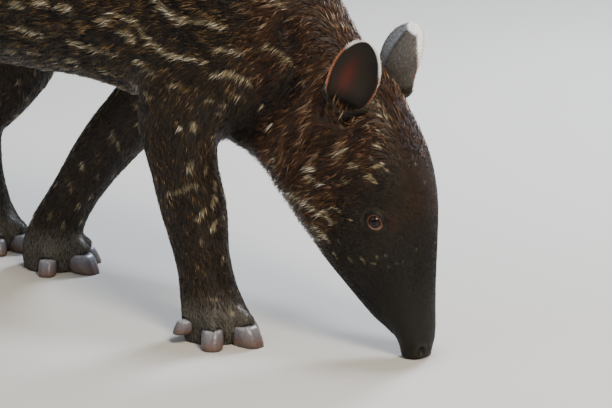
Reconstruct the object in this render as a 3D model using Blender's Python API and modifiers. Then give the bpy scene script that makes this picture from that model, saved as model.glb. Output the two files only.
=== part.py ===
"""A young Malayan tapir, life size, walking slowly with its nose at the ground.

Metres, +Z up. The calf faces +X and its left side is +Y. Its right forefoot is planted ahead, its left
forefoot is at the end of its step, and its trunk-like nose touches the floor between two sniffs. The
flesh is modelled whole, then parted by thin cuts. Hooves, ears and eyes are pieces of their own.
"""

import math

import bmesh
import bpy
import numpy as np
from mathutils import Matrix, Vector
from mathutils.bvhtree import BVHTree

# Driving dimensions of the calf
WITHERS_Z = 0.494          # height at the withers
BELLY_Z = 0.244            # lowest line of the belly
HEAD_HALF_WIDTH = 0.056    # across the cheekbones
FORE_TRACK = 0.066         # forefeet out from the middle line
HIND_TRACK = 0.076         # hind feet out from the middle line
EYE_RADIUS = 0.0105
EYE_SUNK = 0.72            # depth of the ball's middle under the skin, in ball radii
EYE_CENTRE = Vector((0.1912, 0.0470, 0.1522))
EAR_ROOT = Vector((0.1559, 0.0525, 0.2588))
EAR_LENGTH = 0.0862
EAR_HALF_WIDTH = 0.0280
EAR_WIDEST = 0.62          # how far up its length the ear is widest
EAR_WRAP_TIP = 56          # degrees from the middle of the cup to its rim, at the tip
EAR_WRAP_ROOT = 46         # degrees more at the root
EAR_WRAP_CLOSING = 76      # and more again just over the root, where the cup closes to a tube
EAR_CLOSING_HEIGHT = 0.13  # how far up its length it closes
EAR_ROOT_NARROWS = 0.40    # share of the width that is lost towards the root
EAR_CUP_DEPTH = 0.62       # how deep the cup is for its width
EAR_BACK_BEND = 0.010      # the rim bends back this far between root and tip
EAR_ROOT_STANDS = 0.006    # the rim stands this far out at the root
EAR_THICKNESS = 0.0026

# Fits and mesh sizes
GAP = 0.0003               # left between pieces that touch
SOLE_DEPTH = 0.004         # flesh below the floor line, trimmed off to leave flats
SKIN_VOXEL = 0.0036
SMOOTH_ROUNDS = 7
TRUNK_ROUNDS = 45          # more smoothing where the legs join the trunk
BODY_SHARE = 0.025         # triangles kept on the trunk and legs
HEAD_SHARE = 0.082         # triangles kept on the head
HEAD_STARTS_X = 0.085      # ahead of this the mesh stays fine

# The outline, rib by rib from the rump to the tip of the nose. Each rib is the point on the back line
# (x, z), the point on the under line (x, z), the half width, where the rib is widest as a share of the
# way down, and how pointed it is above and below (1 is an ellipse, more is narrower, less is squarer).
RIBS = [
    (-0.537, 0.424, -0.528, 0.334, 0.034, 0.50, 1.0, 1.0),
    (-0.519, 0.462, -0.508, 0.284, 0.070, 0.50, 1.0, 1.0),
    (-0.470, 0.494, -0.458, 0.256, 0.096, 0.50, 0.9, 0.95),
    (-0.385, 0.507, -0.380, BELLY_Z + 0.004, 0.106, 0.52, 0.9, 0.95),
    (-0.285, 0.502, -0.282, BELLY_Z, 0.113, 0.56, 0.95, 0.9),
    (-0.185, 0.494, -0.182, BELLY_Z - 0.001, 0.112, 0.56, 0.95, 0.9),
    (-0.100, WITHERS_Z, -0.088, 0.224, 0.102, 0.56, 1.0, 0.95),
    (-0.030, WITHERS_Z - 0.004, -0.018, 0.201, 0.088, 0.58, 1.1, 1.0),
    (0.038, 0.456, 0.019, 0.184, 0.073, 0.56, 1.1, 1.0),
    (0.090, 0.390, 0.041, 0.161, 0.063, 0.54, 1.05, 1.0),
    (0.133, 0.329, 0.060, 0.138, 0.057, 0.54, 1.0, 0.95),
    (0.176, 0.284, 0.079, 0.115, 0.0545, 0.50, 0.95, 0.95),
    (0.208, 0.231, 0.101, 0.092, HEAD_HALF_WIDTH, 0.40, 0.95, 0.95),
    (0.2215, 0.178, 0.126, 0.070, 0.0530, 0.38, 0.95, 1.0),
    (0.2255, 0.130, 0.149, 0.048, 0.0420, 0.42, 0.9, 1.0),
    (0.2265, 0.088, 0.169, 0.032, 0.0325, 0.46, 0.85, 0.9),
    (0.2275, 0.056, 0.1860, 0.024, 0.0265, 0.48, 0.85, 0.85),
    (0.2290, 0.031, 0.1950, 0.013, 0.0225, 0.48, 0.85, 0.85),
    (0.2275, 0.008, 0.1965, 0.001, 0.0200, 0.48, 0.9, 0.9),
    (0.2215, -0.009, 0.2020, -0.011, 0.0135, 0.48, 1.0, 1.0),
]
RIB_POINTS = 44            # points round a rib
RIB_STEPS = 5              # rings made between two ribs

# Limbs, joint by joint from the top: x, z, distance out from the middle line, radius fore and aft,
# radius from side to side.
FORE_PLANTED = [
    (-0.014, 0.415, 0.046, 0.034, 0.016),
    (-0.004, 0.360, 0.055, 0.056, 0.028),
    (-0.018, 0.290, 0.065, 0.062, 0.036),
    (-0.040, 0.232, 0.071, 0.050, 0.036),
    (-0.036, 0.182, 0.069, 0.0390, 0.0335),
    (-0.025, 0.134, FORE_TRACK, 0.0370, 0.0330),
    (-0.015, 0.086, FORE_TRACK, 0.0305, 0.0285),
    (-0.007, 0.050, FORE_TRACK, 0.0315, 0.0305),
    (0.000, 0.024, FORE_TRACK, 0.0350, 0.0350),
    (0.002, -SOLE_DEPTH, FORE_TRACK, 0.0335, 0.0335),
]
FORE_PUSHING = [
    (-0.010, 0.415, 0.046, 0.034, 0.016),
    (-0.028, 0.360, 0.053, 0.056, 0.028),
    (-0.080, 0.298, 0.062, 0.062, 0.036),
    (-0.138, 0.244, 0.064, 0.050, 0.036),
    (-0.187, 0.200, 0.060, 0.0385, 0.0335),
    (-0.236, 0.148, 0.056, 0.0330, 0.0320),
    (-0.275, 0.094, 0.052, 0.0275, 0.0280),
    (-0.301, 0.052, 0.050, 0.0295, 0.0300),
    (-0.309, 0.024, 0.050, 0.0345, 0.0345),
    (-0.309, -SOLE_DEPTH, 0.050, 0.0335, 0.0335),
]
HIND_LEADING = [
    (-0.440, 0.430, 0.042, 0.055, 0.026),
    (-0.430, 0.380, 0.054, 0.080, 0.040),
    (-0.404, 0.316, 0.068, 0.078, 0.044),
    (-0.372, 0.250, 0.077, 0.057, 0.037),
    (-0.396, 0.196, 0.078, 0.042, 0.031),
    (-0.434, 0.150, HIND_TRACK, 0.0345, 0.0260),
    (-0.435, 0.100, HIND_TRACK, 0.0265, 0.0250),
    (-0.428, 0.052, HIND_TRACK, 0.0285, 0.0280),
    (-0.420, 0.024, HIND_TRACK, 0.0330, 0.0325),
    (-0.418, -SOLE_DEPTH, HIND_TRACK, 0.0315, 0.0315),
]
HIND_TRAILING = [
    (-0.440, 0.430, 0.042, 0.055, 0.026),
    (-0.438, 0.380, 0.054, 0.080, 0.040),
    (-0.430, 0.316, 0.068, 0.078, 0.044),
    (-0.410, 0.252, 0.077, 0.057, 0.037),
    (-0.450, 0.202, 0.078, 0.042, 0.031),
    (-0.496, 0.158, HIND_TRACK, 0.0340, 0.0260),
    (-0.508, 0.106, HIND_TRACK, 0.0265, 0.0250),
    (-0.509, 0.054, HIND_TRACK, 0.0285, 0.0280),
    (-0.502, 0.024, HIND_TRACK, 0.0330, 0.0325),
    (-0.500, -SOLE_DEPTH, HIND_TRACK, 0.0315, 0.0315),
]
LEGS = {  # name: joints, side (+1 is left), whether it is a foreleg, degrees the foot turns out
    "foreleg_right": (FORE_PLANTED, -1, True, 4),
    "foreleg_left": (FORE_PUSHING, 1, True, 0),
    "hindleg_right": (HIND_TRAILING, -1, False, 4),
    "hindleg_left": (HIND_LEADING, 1, False, 4),
}

# Swellings that the ribs alone don't give, on both sides: name, middle (x, out, z), radii, degrees
# that it is tipped forward.
SWELLINGS = [
    ("shoulder", (-0.030, 0.062, 0.342), (0.078, 0.038, 0.116), -18),
    ("haunch", (-0.440, 0.056, 0.364), (0.088, 0.050, 0.110), 12),
    ("cheek", (0.118, 0.027, 0.152), (0.036, 0.026, 0.056), -38),
    ("ear_root", (0.1485, 0.0355, 0.2560), (0.022, 0.016, 0.026), 0),
]

# Toes: number counted from the inside, angle from straight ahead towards the outside in degrees,
# distance of the hoof out from the middle of the foot, size against the largest toe, height of the
# hoof's sole over the floor.
FORE_TOES = [(2, -62, 0.027, 0.84, 0.000), (3, 0, 0.035, 1.06, 0.000),
             (4, 55, 0.030, 0.98, 0.000), (5, 110, 0.031, 0.66, 0.011)]
HIND_TOES = [(2, -46, 0.027, 0.86, 0.000), (3, 0, 0.033, 1.02, 0.000), (4, 46, 0.027, 0.86, 0.000)]
HOOF_RADII = Vector((0.0165, 0.0118, 0.0200))
HOOF_AHEAD = 0.0070        # the hoof's middle stands this far ahead of the toe's
HOOF_LEAN = 24             # degrees that a hoof slopes back
TOE_RADII = Vector((0.0160, 0.0126, 0.0185))

TAIL = [(-0.515, 0.435, 0.0200), (-0.541, 0.422, 0.0165), (-0.561, 0.398, 0.0135),
        (-0.571, 0.372, 0.0112), (-0.575, 0.349, 0.0085), (-0.576, 0.341, 0.0060)]   # x, z, radius


def new_collection(name):
    collection = bpy.data.collections.new(name)
    bpy.context.scene.collection.children.link(collection)
    return collection


def material(name, colour, roughness):
    made = bpy.data.materials.new(name)
    made.use_nodes = True
    shader = made.node_tree.nodes["Principled BSDF"]
    shader.inputs["Base Color"].default_value = (*colour, 1.0)
    shader.inputs["Roughness"].default_value = roughness
    return made


def add_object(name, mesh, collection):
    made = bpy.data.objects.new(name, mesh)
    collection.objects.link(made)
    return made


def mesh_of(bm, name):
    """The bmesh as a mesh, with its faces turned outwards."""
    bmesh.ops.recalc_face_normals(bm, faces=bm.faces)
    mesh = bpy.data.meshes.new(name)
    bm.to_mesh(mesh)
    bm.free()
    return mesh


def smooth_rows(rows, steps):
    """Rows of numbers with steps rows for each span, on a smooth curve through them all."""
    rows = np.array(rows, float)
    slopes = np.gradient(rows, axis=0)
    made = []
    for i in range(len(rows) - 1):
        for t in np.arange(steps) / steps:
            made.append(
                (2 * t**3 - 3 * t**2 + 1) * rows[i]
                + (t**3 - 2 * t**2 + t) * slopes[i]
                + (3 * t**2 - 2 * t**3) * rows[i + 1]
                + (t**3 - t**2) * slopes[i + 1]
            )
    made.append(rows[-1])
    return made


def skin_rings(rings, name):
    """A closed mesh through rings of points, its two ends closed by fans."""
    bm = bmesh.new()
    loops = [[bm.verts.new(p) for p in ring] for ring in rings]
    count = len(loops[0])
    for near, far in zip(loops, loops[1:]):
        for i in range(count):
            j = (i + 1) % count
            bm.faces.new((near[i], near[j], far[j], far[i]))
    for ring in (loops[0], loops[-1]):
        middle = bm.verts.new(sum((v.co for v in ring), Vector()) / count)
        for i in range(count):
            bm.faces.new((ring[i], ring[(i + 1) % count], middle))
    return mesh_of(bm, name)


def rib_ring(row):
    """The points round one rib."""
    back_x, back_z, under_x, under_z, half_width, widest, above, below = row
    back = Vector((back_x, 0, back_z))
    under = Vector((under_x, 0, under_z))
    ring = []
    for i in range(RIB_POINTS):
        turn = 2 * math.pi * i / RIB_POINTS
        drop = math.cos(turn)
        if drop > 0:
            share = widest * (1 - drop)
            power = above
        else:
            share = widest - (1 - widest) * drop
            power = below
        out = math.copysign(abs(math.sin(turn)) ** power, math.sin(turn)) * half_width
        ring.append(back.lerp(under, share) + Vector((0, out, 0)))
    return ring


def limb_rings(rows, side, steps=4, around=24):
    """Rings along a limb, square to the way it runs."""
    path = smooth_rows(rows, steps)
    rings = []
    for i, (x, z, out, fore, wide) in enumerate(path):
        ahead = path[min(i + 1, len(path) - 1)]
        behind = path[max(i - 1, 0)]
        run = Vector((ahead[0] - behind[0], 0, ahead[1] - behind[1])).normalized()
        front = Vector((-run.z, 0, run.x))
        middle = Vector((x, side * out, z))
        turns = (2 * math.pi * k / around for k in range(around))
        rings.append([middle + front * (fore * math.cos(a)) + Vector((0, wide * math.sin(a), 0))
                      for a in turns])
    return rings


def tail_rings():
    rows = [(x, z, 0.0, radius, radius) for x, z, radius in TAIL]
    return limb_rings(rows, 1, steps=4, around=14)


def ellipsoid(name, centre, radii, turn=Matrix.Identity(4), collection=None, around=20):
    bm = bmesh.new()
    place = Matrix.Translation(centre) @ turn @ Matrix.Diagonal((*radii, 1))
    bmesh.ops.create_uvsphere(bm, u_segments=around, v_segments=around // 2, radius=1, matrix=place)
    return add_object(name, mesh_of(bm, name), collection)


def foot_middle(joints, side):
    return Vector((joints[-1][0], side * joints[-1][2], 0))


def toe_places(leg):
    """For each toe of a leg: its number, the turn that aims it, the middle of its hoof's sole, its size
    and the height of that sole."""
    joints, side, fore, turned_out = LEGS[leg]
    for number, degrees, reach, size, height in FORE_TOES if fore else HIND_TOES:
        turn = Matrix.Rotation(side * math.radians(degrees + turned_out), 4, "Z")
        place = foot_middle(joints, side) + turn @ Vector((reach, 0, 0))
        yield number, turn, place, size, height


def toe(leg, number, turn, place, size, height, collection):
    """The flesh behind a hoof."""
    centre = place + Vector((0, 0, height + 0.0165 * size))
    return ellipsoid(f"toe_{leg}_{number}", centre, TOE_RADII * size, turn, collection)


def hoof_shape(name, turn, place, size, height, grown, collection):
    """A hoof as a leaning half egg on a flat sole. grown makes the cutter that seats it in the toe."""
    egg = bmesh.new()
    radii = HOOF_RADII * size
    bmesh.ops.create_uvsphere(egg, u_segments=12, v_segments=9, radius=1,
                              matrix=Matrix.Diagonal((*radii, 1)))
    lean = math.tan(math.radians(HOOF_LEAN))
    floor = -0.35 * radii.z
    move = Matrix.Translation(place + Vector((0, 0, height - floor))) @ turn
    bm = bmesh.new()
    for v in egg.verts:
        low = max(v.co.z, floor)
        bm.verts.new(move @ Vector((v.co.x - low * lean + HOOF_AHEAD, v.co.y, low)))
    egg.free()
    bmesh.ops.remove_doubles(bm, verts=bm.verts, dist=1e-6)
    bmesh.ops.convex_hull(bm, input=bm.verts)
    loose = [v for v in bm.verts if not v.link_faces]
    bmesh.ops.delete(bm, geom=loose, context="VERTS")
    bmesh.ops.recalc_face_normals(bm, faces=bm.faces)
    if grown:
        bm.normal_update()
        shifts = [(v, v.normal * (1.5 * GAP)) for v in bm.verts]
        for v, shift in shifts:
            v.co += shift
    return add_object(name, mesh_of(bm, name), collection)


def eye_direction(side):
    return Vector((0.335, 0.942 * side, 0.02)).normalized()


def at_side(point, side):
    return Vector((point.x, point.y * side, point.z))


def muscle_masses(collection):
    for side in (-1, 1):
        for name, middle, radii, degrees in SWELLINGS:
            tilt = Matrix.Rotation(math.radians(degrees), 4, "Y")
            ellipsoid(name, at_side(Vector(middle), side), radii, tilt, collection)


def evaluated_mesh(obj):
    bpy.context.view_layer.update()
    graph = bpy.context.evaluated_depsgraph_get()
    return bpy.data.meshes.new_from_object(obj.evaluated_get(graph))


def joined(objects, name, collection):
    """One object holding the meshes of many, which are removed."""
    bm = bmesh.new()
    for obj in objects:
        bm.from_mesh(obj.data)
    for obj in objects:
        bpy.data.objects.remove(obj)
    mesh = bpy.data.meshes.new(name)
    bm.to_mesh(mesh)
    bm.free()
    return add_object(name, mesh, collection)


def boolean(target, cutter, operation, solver="EXACT"):
    """Cuts or joins at once, and leaves the result in target."""
    modifier = target.modifiers.new(operation, "BOOLEAN")
    modifier.operation = operation
    modifier.solver = solver
    modifier.object = cutter
    result = evaluated_mesh(target)
    target.modifiers.remove(modifier)
    target.data = result


def islands(mesh):
    """The separate closed surfaces of a mesh, each as a bmesh, largest first."""
    bm = bmesh.new()
    bm.from_mesh(mesh)
    left = set(bm.verts)
    groups = []
    while left:
        front = [left.pop()]
        group = set(front)
        while front:
            vert = front.pop()
            for edge in vert.link_edges:
                other = edge.other_vert(vert)
                if other in left:
                    left.discard(other)
                    group.add(other)
                    front.append(other)
        groups.append({v.index for v in group})
    bm.free()
    parts = []
    for group in groups:
        part = bmesh.new()
        part.from_mesh(mesh)
        outside = [v for v in part.verts if v.index not in group]
        bmesh.ops.delete(part, geom=outside, context="VERTS")
        parts.append(part)
    return sorted(parts, key=lambda part: -abs(part.calc_volume(signed=True)))


def keep_largest(obj):
    parts = islands(obj.data)
    for part in parts[1:]:
        part.free()
    name = obj.name
    obj.data = mesh_of(parts[0], name)


def grown_copy(obj, distance, collection):
    """A copy whose surface stands out by distance."""
    copy = add_object(obj.name + "_grown", obj.data.copy(), collection)
    bm = bmesh.new()
    bm.from_mesh(copy.data)
    bm.normal_update()
    shifts = [(v, v.normal * distance) for v in bm.verts]
    for v, shift in shifts:
        v.co += shift
    bm.to_mesh(copy.data)
    bm.free()
    return copy


def whole_flesh(collection):
    """The whole animal without ears, eyes and hooves, as one smooth closed mesh with flat soles."""
    pieces = new_collection("flesh_pieces")
    add_object("trunk", skin_rings([rib_ring(row) for row in smooth_rows(RIBS, RIB_STEPS)], "trunk"),
               pieces)
    add_object("tail_core", skin_rings(tail_rings(), "tail_core"), pieces)
    for leg, (joints, side, _, _) in LEGS.items():
        add_object(leg + "_core", skin_rings(limb_rings(joints, side), leg), pieces)
        for number, turn, place, size, height in toe_places(leg):
            toe(leg, number, turn, place, size, height, pieces)
    muscle_masses(pieces)
    flesh = joined(list(pieces.objects), "flesh", collection)
    bpy.data.collections.remove(pieces)
    remesh = flesh.modifiers.new("one_skin", "REMESH")
    remesh.mode = "VOXEL"
    remesh.voxel_size = SKIN_VOXEL
    smooth = flesh.modifiers.new("settle", "SMOOTH")
    smooth.factor = 0.5
    smooth.iterations = SMOOTH_ROUNDS
    flesh.data = evaluated_mesh(flesh)
    flesh.modifiers.clear()
    blend_trunk(flesh)
    thin_out(flesh)
    return flesh


def blend_trunk(flesh):
    """Melts shoulders, haunches and the tops of the legs into the trunk, and leaves the feet crisp."""
    group = flesh.vertex_groups.new(name="trunk")
    for v in flesh.data.vertices:
        above_legs = min(max((v.co.z - 0.12) / 0.10, 0.0), 1.0)
        behind_head = min(max((0.13 - v.co.x) / 0.06, 0.0), 1.0)
        before_tail = min(max((v.co.x + 0.556) / 0.02, 0.0), 1.0)
        group.add([v.index], above_legs * behind_head * before_tail, "REPLACE")
    smooth = flesh.modifiers.new("blend", "SMOOTH")
    smooth.factor = 0.5
    smooth.iterations = TRUNK_ROUNDS
    smooth.vertex_group = "trunk"
    flesh.data = evaluated_mesh(flesh)
    flesh.modifiers.clear()
    flesh.vertex_groups.clear()


def thin_out(flesh):
    """Fewer triangles, with more of them kept on the head."""
    for name, share, chosen in (
        ("body", BODY_SHARE, lambda p: p.x < HEAD_STARTS_X),
        ("head", HEAD_SHARE, lambda p: p.x >= HEAD_STARTS_X),
    ):
        part = [v.index for v in flesh.data.vertices if chosen(v.co)]
        total = len(flesh.data.vertices)
        group = flesh.vertex_groups.new(name=name)
        group.add(part, 1.0, "REPLACE")
        decimate = flesh.modifiers.new("thin_" + name, "DECIMATE")
        decimate.ratio = 1 - (1 - share) * len(part) / total
        decimate.vertex_group = name
        decimate.vertex_group_factor = 1.0
        flesh.data = evaluated_mesh(flesh)
        flesh.modifiers.clear()
        flesh.vertex_groups.clear()


def box_cutter(name, low, high, collection):
    bm = bmesh.new()
    size = Vector(high) - Vector(low)
    place = Matrix.Translation((Vector(low) + Vector(high)) / 2) @ Matrix.Diagonal((*size, 1))
    bmesh.ops.create_cube(bm, size=1, matrix=place)
    return add_object(name, mesh_of(bm, name), collection)


def slab(name, centre, normal, radius, collection):
    """A disc one gap thick that parts the flesh across a limb."""
    bm = bmesh.new()
    turn = Vector(normal).to_track_quat("Z", "Y").to_matrix().to_4x4()
    bmesh.ops.create_cone(bm, cap_ends=True, segments=32, radius1=radius, radius2=radius, depth=GAP,
                          matrix=Matrix.Translation(centre) @ turn)
    return add_object(name, mesh_of(bm, name), collection)


def leg_slab(leg, height, radius, collection):
    """A cut square to a leg where its middle line passes a height."""
    joints, side = LEGS[leg][:2]
    row = next(i for i in range(1, len(joints)) if joints[i][1] <= height)
    above, below = joints[row - 1], joints[row]
    share = (above[1] - height) / (above[1] - below[1])
    place = [a + (b - a) * share for a, b in zip(above, below)]
    run = Vector((above[0] - below[0], 0, above[1] - below[1]))
    slab(f"cut_{leg}_{row}", Vector((place[0], side * place[2], height)), run, radius, collection)


# Thin cuts across the flesh: middle, way across, radius of the cut
BODY_CUTS = [
    ((0.010, 0, 0.334), (0.982, 0, 0.187), 0.200),       # torso from neck
    ((0.094, 0, 0.232), (0.949, 0, -0.314), 0.116),      # neck from head, behind the ears
    ((0.212, 0, 0.0225), (0.10, 0, -1.0), 0.026),        # head from proboscis
    ((-0.5560, 0, 0.4090), (-0.67, 0, -0.74), 0.022),    # torso from tail
]
ELBOW_CUT_Z = 0.186        # the foreleg leaves the brisket
STIFLE_CUT_Z = 0.218       # the hind leg leaves the belly
FOOT_CUT_Z = 0.072
LEG_CUT_RADIUS = 0.060
FOOT_CUT_RADIUS = 0.050


def cut_apart(flesh, cutters):
    """Every thin cut through the flesh, and the trim that leaves the soles and the nose flat."""
    for middle, across, radius in BODY_CUTS:
        slab("body_cut", Vector(middle), across, radius, cutters)
    for leg, (_, _, fore, _) in LEGS.items():
        leg_slab(leg, ELBOW_CUT_Z if fore else STIFLE_CUT_Z, LEG_CUT_RADIUS, cutters)
        leg_slab(leg, FOOT_CUT_Z, FOOT_CUT_RADIUS, cutters)
    for cutter in list(cutters.objects):
        boolean(flesh, cutter, "DIFFERENCE")
    low = box_cutter("floor_trim", (-1, -1, -0.1), (1, 1, 0), cutters)
    boolean(flesh, low, "DIFFERENCE")


def probes():
    """A point well inside each node of flesh, which tells the parted pieces apart."""
    found = {
        "torso": Vector((-0.250, 0, 0.364)),
        "neck": Vector((0.068, 0, 0.284)),
        "head": Vector((0.165, 0, 0.164)),
        "proboscis": Vector((0.212, 0, 0.012)),
        "tail": Vector((-0.570, 0, 0.374)),
    }
    for leg, (joints, side, _, _) in LEGS.items():
        for name, row in ((leg, 5), (foot_name(leg), 7)):
            x, z, out = joints[row][:3]
            found[name] = Vector((x, side * out, z))
    return found


def foot_name(leg):
    return leg.replace("leg", "foot")


def holds(bm, point):
    """Whether a closed bmesh has the point inside it: a ray out of it crosses the surface oddly often."""
    tree = BVHTree.FromBMesh(bm)
    ahead = Vector((0.021, 1.0, 0.013)).normalized()
    crossings = 0
    start = point
    while True:
        hit = tree.ray_cast(start, ahead)[0]
        if hit is None:
            return crossings % 2 == 1
        crossings += 1
        start = hit + ahead * 1e-5


def parted(flesh, collection):
    """One object for each parted piece of flesh, named by the probe that it holds."""
    parts = islands(flesh.data)
    made = {}
    for name, point in probes().items():
        part = next(p for p in parts if p.calc_volume(signed=True) > 0 and holds(p, point))
        made[name] = add_object(name, mesh_of(part.copy(), name), collection)
    for part in parts:
        part.free()
    bpy.data.objects.remove(flesh)
    return made


def surface_path(tree, points, side):
    """The points, each moved straight sideways onto the skin."""
    found = []
    for x, z in points:
        start = Vector((x, side * 0.2, z))
        hit, normal, _, _ = tree.ray_cast(start, Vector((0, -side, 0)))
        if hit is not None:
            found.append((hit, normal))
    return found


def tube_object(name, path, radius, end_share, collection):
    """A tube along a path of points, as a mesh. Its ends taper to end_share of its radius."""
    curve = bpy.data.curves.new(name, "CURVE")
    curve.dimensions = "3D"
    curve.bevel_depth = radius
    curve.bevel_resolution = 1
    curve.use_fill_caps = True
    spline = curve.splines.new("POLY")
    spline.points.add(len(path) - 1)
    for i, (point, place) in enumerate(zip(spline.points, path)):
        point.co = (*place, 1)
        middling = math.sin(math.pi * i / (len(path) - 1)) ** 0.5
        point.radius = end_share + (1 - end_share) * middling
    drawn = add_object(name + "_curve", curve, collection)
    mesh = evaluated_mesh(drawn)
    bpy.data.objects.remove(drawn)
    bm = bmesh.new()
    bm.from_mesh(mesh)
    bmesh.ops.remove_doubles(bm, verts=bm.verts, dist=1e-6)
    return add_object(name, mesh_of(bm, name), collection)


MOUTH_LINE = [(0.1905, 0.0280), (0.1870, 0.0350), (0.1812, 0.0432), (0.1740, 0.0520),
              (0.1665, 0.0608), (0.1588, 0.0696), (0.1515, 0.0776)]   # x, z, chin back to the corner
MOUTH_DEPTH = 0.0012
LIP_RADIUS = 0.0038        # each lip is a roll along the mouth
LIP_PROUD = 0.0011         # and stands this much out of the skin
LIP_SPREAD = 0.0033        # its middle is this far from the line of the mouth


def make_mouth(head, cutters):
    """The upper and lower lip on each side of the jaw, and the line of the mouth between them."""
    tree = BVHTree.FromObject(head, bpy.context.evaluated_depsgraph_get())
    run = (Vector(MOUTH_LINE[-1]) - Vector(MOUTH_LINE[0])).normalized()
    across = Vector((run.y, -run.x)) * LIP_SPREAD
    mouth = smooth_rows(MOUTH_LINE, 2)
    for side in (-1, 1):
        for lip in (-1, 1):
            line = [(x + lip * across.x, z + lip * across.y) for x, z in mouth]
            path = [hit + normal * (LIP_PROUD - LIP_RADIUS)
                    for hit, normal in surface_path(tree, line, side)]
            boolean(head, tube_object("lip", path, LIP_RADIUS, 0.45, cutters), "UNION")
    for side in (-1, 1):
        path = [hit for hit, _ in surface_path(tree, mouth, side)]
        boolean(head, tube_object("mouth", path, MOUTH_DEPTH, 0.40, cutters), "DIFFERENCE")
    keep_largest(head)


def eye_frame(head_tree, side):
    """The middle of an eyeball sunk below the skin, the way it looks and its turn."""
    centre = at_side(EYE_CENTRE, side)
    look = eye_direction(side)
    hit, _, _, _ = head_tree.ray_cast(centre + look * 0.05, -look)
    centre = hit - look * (EYE_RADIUS * EYE_SUNK)
    return centre, look, look.to_track_quat("Z", "Y").to_matrix().to_4x4()


LID_HALF_LENGTH = 0.0080   # from the middle of the eye to a corner, along the middle of the lids
LID_HALF_HEIGHT = 0.0069
LID_STANDS = 0.78          # height of the lids over the middle of the ball, in ball radii
LID_THICKNESS = 0.0021
LID_SKIRT = 2.6            # the lids reach this much deeper into the skin than they stand out of it
LID_RUN = Vector((0.35, 0, -0.94))   # from the rear corner of the eye to the front one


def lid_ring(name, centre, look, collection):
    """Both lids as one almond ring standing a little proud of the skin."""
    bm = bmesh.new()
    around, across = 24, 8
    loops = []
    along = (LID_RUN - look * LID_RUN.dot(look)).normalized()
    over = look.cross(along)
    for i in range(around):
        a = 2 * math.pi * i / around
        ahead = LID_HALF_LENGTH * math.cos(a)
        aside = LID_HALF_HEIGHT * math.sin(a)
        middle = along * ahead + over * aside + look * (EYE_RADIUS * LID_STANDS)
        out = (along * ahead + over * aside).normalized()
        ring = []
        for k in range(across):
            b = 2 * math.pi * k / across
            swell = out * math.cos(b) + look * (math.sin(b) * (1.0 if math.sin(b) > 0 else LID_SKIRT))
            ring.append(bm.verts.new(centre + middle + swell * LID_THICKNESS))
        loops.append(ring)
    for i in range(around):
        for k in range(across):
            here, there = loops[i], loops[(i + 1) % around]
            m = (k + 1) % across
            bm.faces.new((here[k], there[k], there[m], here[m]))
    return add_object(name, mesh_of(bm, name), collection)


def make_eyes(head, cutters, collection):
    """Sockets with lids in the head, and an eyeball in each."""
    tree = BVHTree.FromObject(head, bpy.context.evaluated_depsgraph_get())
    for side, word in ((-1, "right"), (1, "left")):
        centre, look, turn = eye_frame(tree, side)
        lids = lid_ring(f"lids_{word}", centre, look, cutters)
        boolean(head, lids, "UNION")
        socket = ellipsoid(f"socket_{word}", centre, (EYE_RADIUS + GAP,) * 3, turn, cutters, 20)
        boolean(head, socket, "DIFFERENCE")
        ellipsoid(f"eye_{word}", centre, (EYE_RADIUS,) * 3, turn, collection, 18)
    keep_largest(head)


NOSTRIL_PLACE = Vector((0.2260, 0.0110, 0.0085))
NOSTRIL_RADII = (0.0042, 0.0050, 0.0062)
NOSTRIL_TURN = 28          # degrees that each nostril looks outwards


def cut_nostrils(nose, cutters):
    """The two nostrils at the end of the proboscis."""
    for side in (-1, 1):
        turn = Matrix.Rotation(side * math.radians(NOSTRIL_TURN), 4, "Z")
        hole = ellipsoid("nostril", at_side(NOSTRIL_PLACE, side), NOSTRIL_RADII, turn, cutters, 14)
        boolean(nose, hole, "DIFFERENCE")
    keep_largest(nose)


def ear_axes(side):
    """Which way an ear points, which way its cup opens and the way across it."""
    up = Vector((0.20, 0.14 * side, 1.0)).normalized()
    opening = Vector((0.30, 0.95 * side, -0.10))
    opening = (opening - up * opening.dot(up)).normalized()
    return up, opening, up.cross(opening)


EAR_LOWER_ROWS = (0.0, 0.035, 0.07, 0.11, 0.17, 0.27, 0.44)   # shares of the length, root to widest


def ear_lower_half(up_share):
    """Half the width of the ear below its widest place."""
    fall = 1 - up_share / EAR_WIDEST
    return EAR_HALF_WIDTH * (1 - EAR_ROOT_NARROWS * fall**1.8)


def ear_outline():
    """Heights up the ear with half its width there: a root that widens to a blade with a round tip."""
    rows = [(up_share, ear_lower_half(up_share)) for up_share in EAR_LOWER_ROWS]
    for i in range(7):
        turn = math.radians(86) * i / 6
        up_share = EAR_WIDEST + (1 - EAR_WIDEST) * math.sin(turn)
        rows.append((up_share, EAR_HALF_WIDTH * math.cos(turn)))
    return rows


def ear_arc(side, up_share, half, inset):
    """Points across the cup of an ear at one height, from rim to rim round its back."""
    across = 9
    up, opening, wide = ear_axes(side)
    closing = math.exp(-((up_share / EAR_CLOSING_HEIGHT) ** 2))
    wrap = math.radians(EAR_WRAP_TIP + EAR_WRAP_ROOT * (1 - up_share) + EAR_WRAP_CLOSING * closing)
    curl = half / math.sin(min(wrap, math.pi / 2))
    lean = -EAR_BACK_BEND * math.sin(math.pi * up_share) + EAR_ROOT_STANDS * (1 - up_share) ** 4
    middle = at_side(EAR_ROOT, side) + up * (EAR_LENGTH * (up_share - 0.10)) + opening * lean
    arc = []
    for k in range(across):
        a = wrap * (2 * k / (across - 1) - 1)
        depth = curl * math.cos(wrap) - (curl - inset) * math.cos(a)
        arc.append(middle + wide * ((curl - inset) * math.sin(a)) + opening * (depth * EAR_CUP_DEPTH))
    return arc


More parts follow.
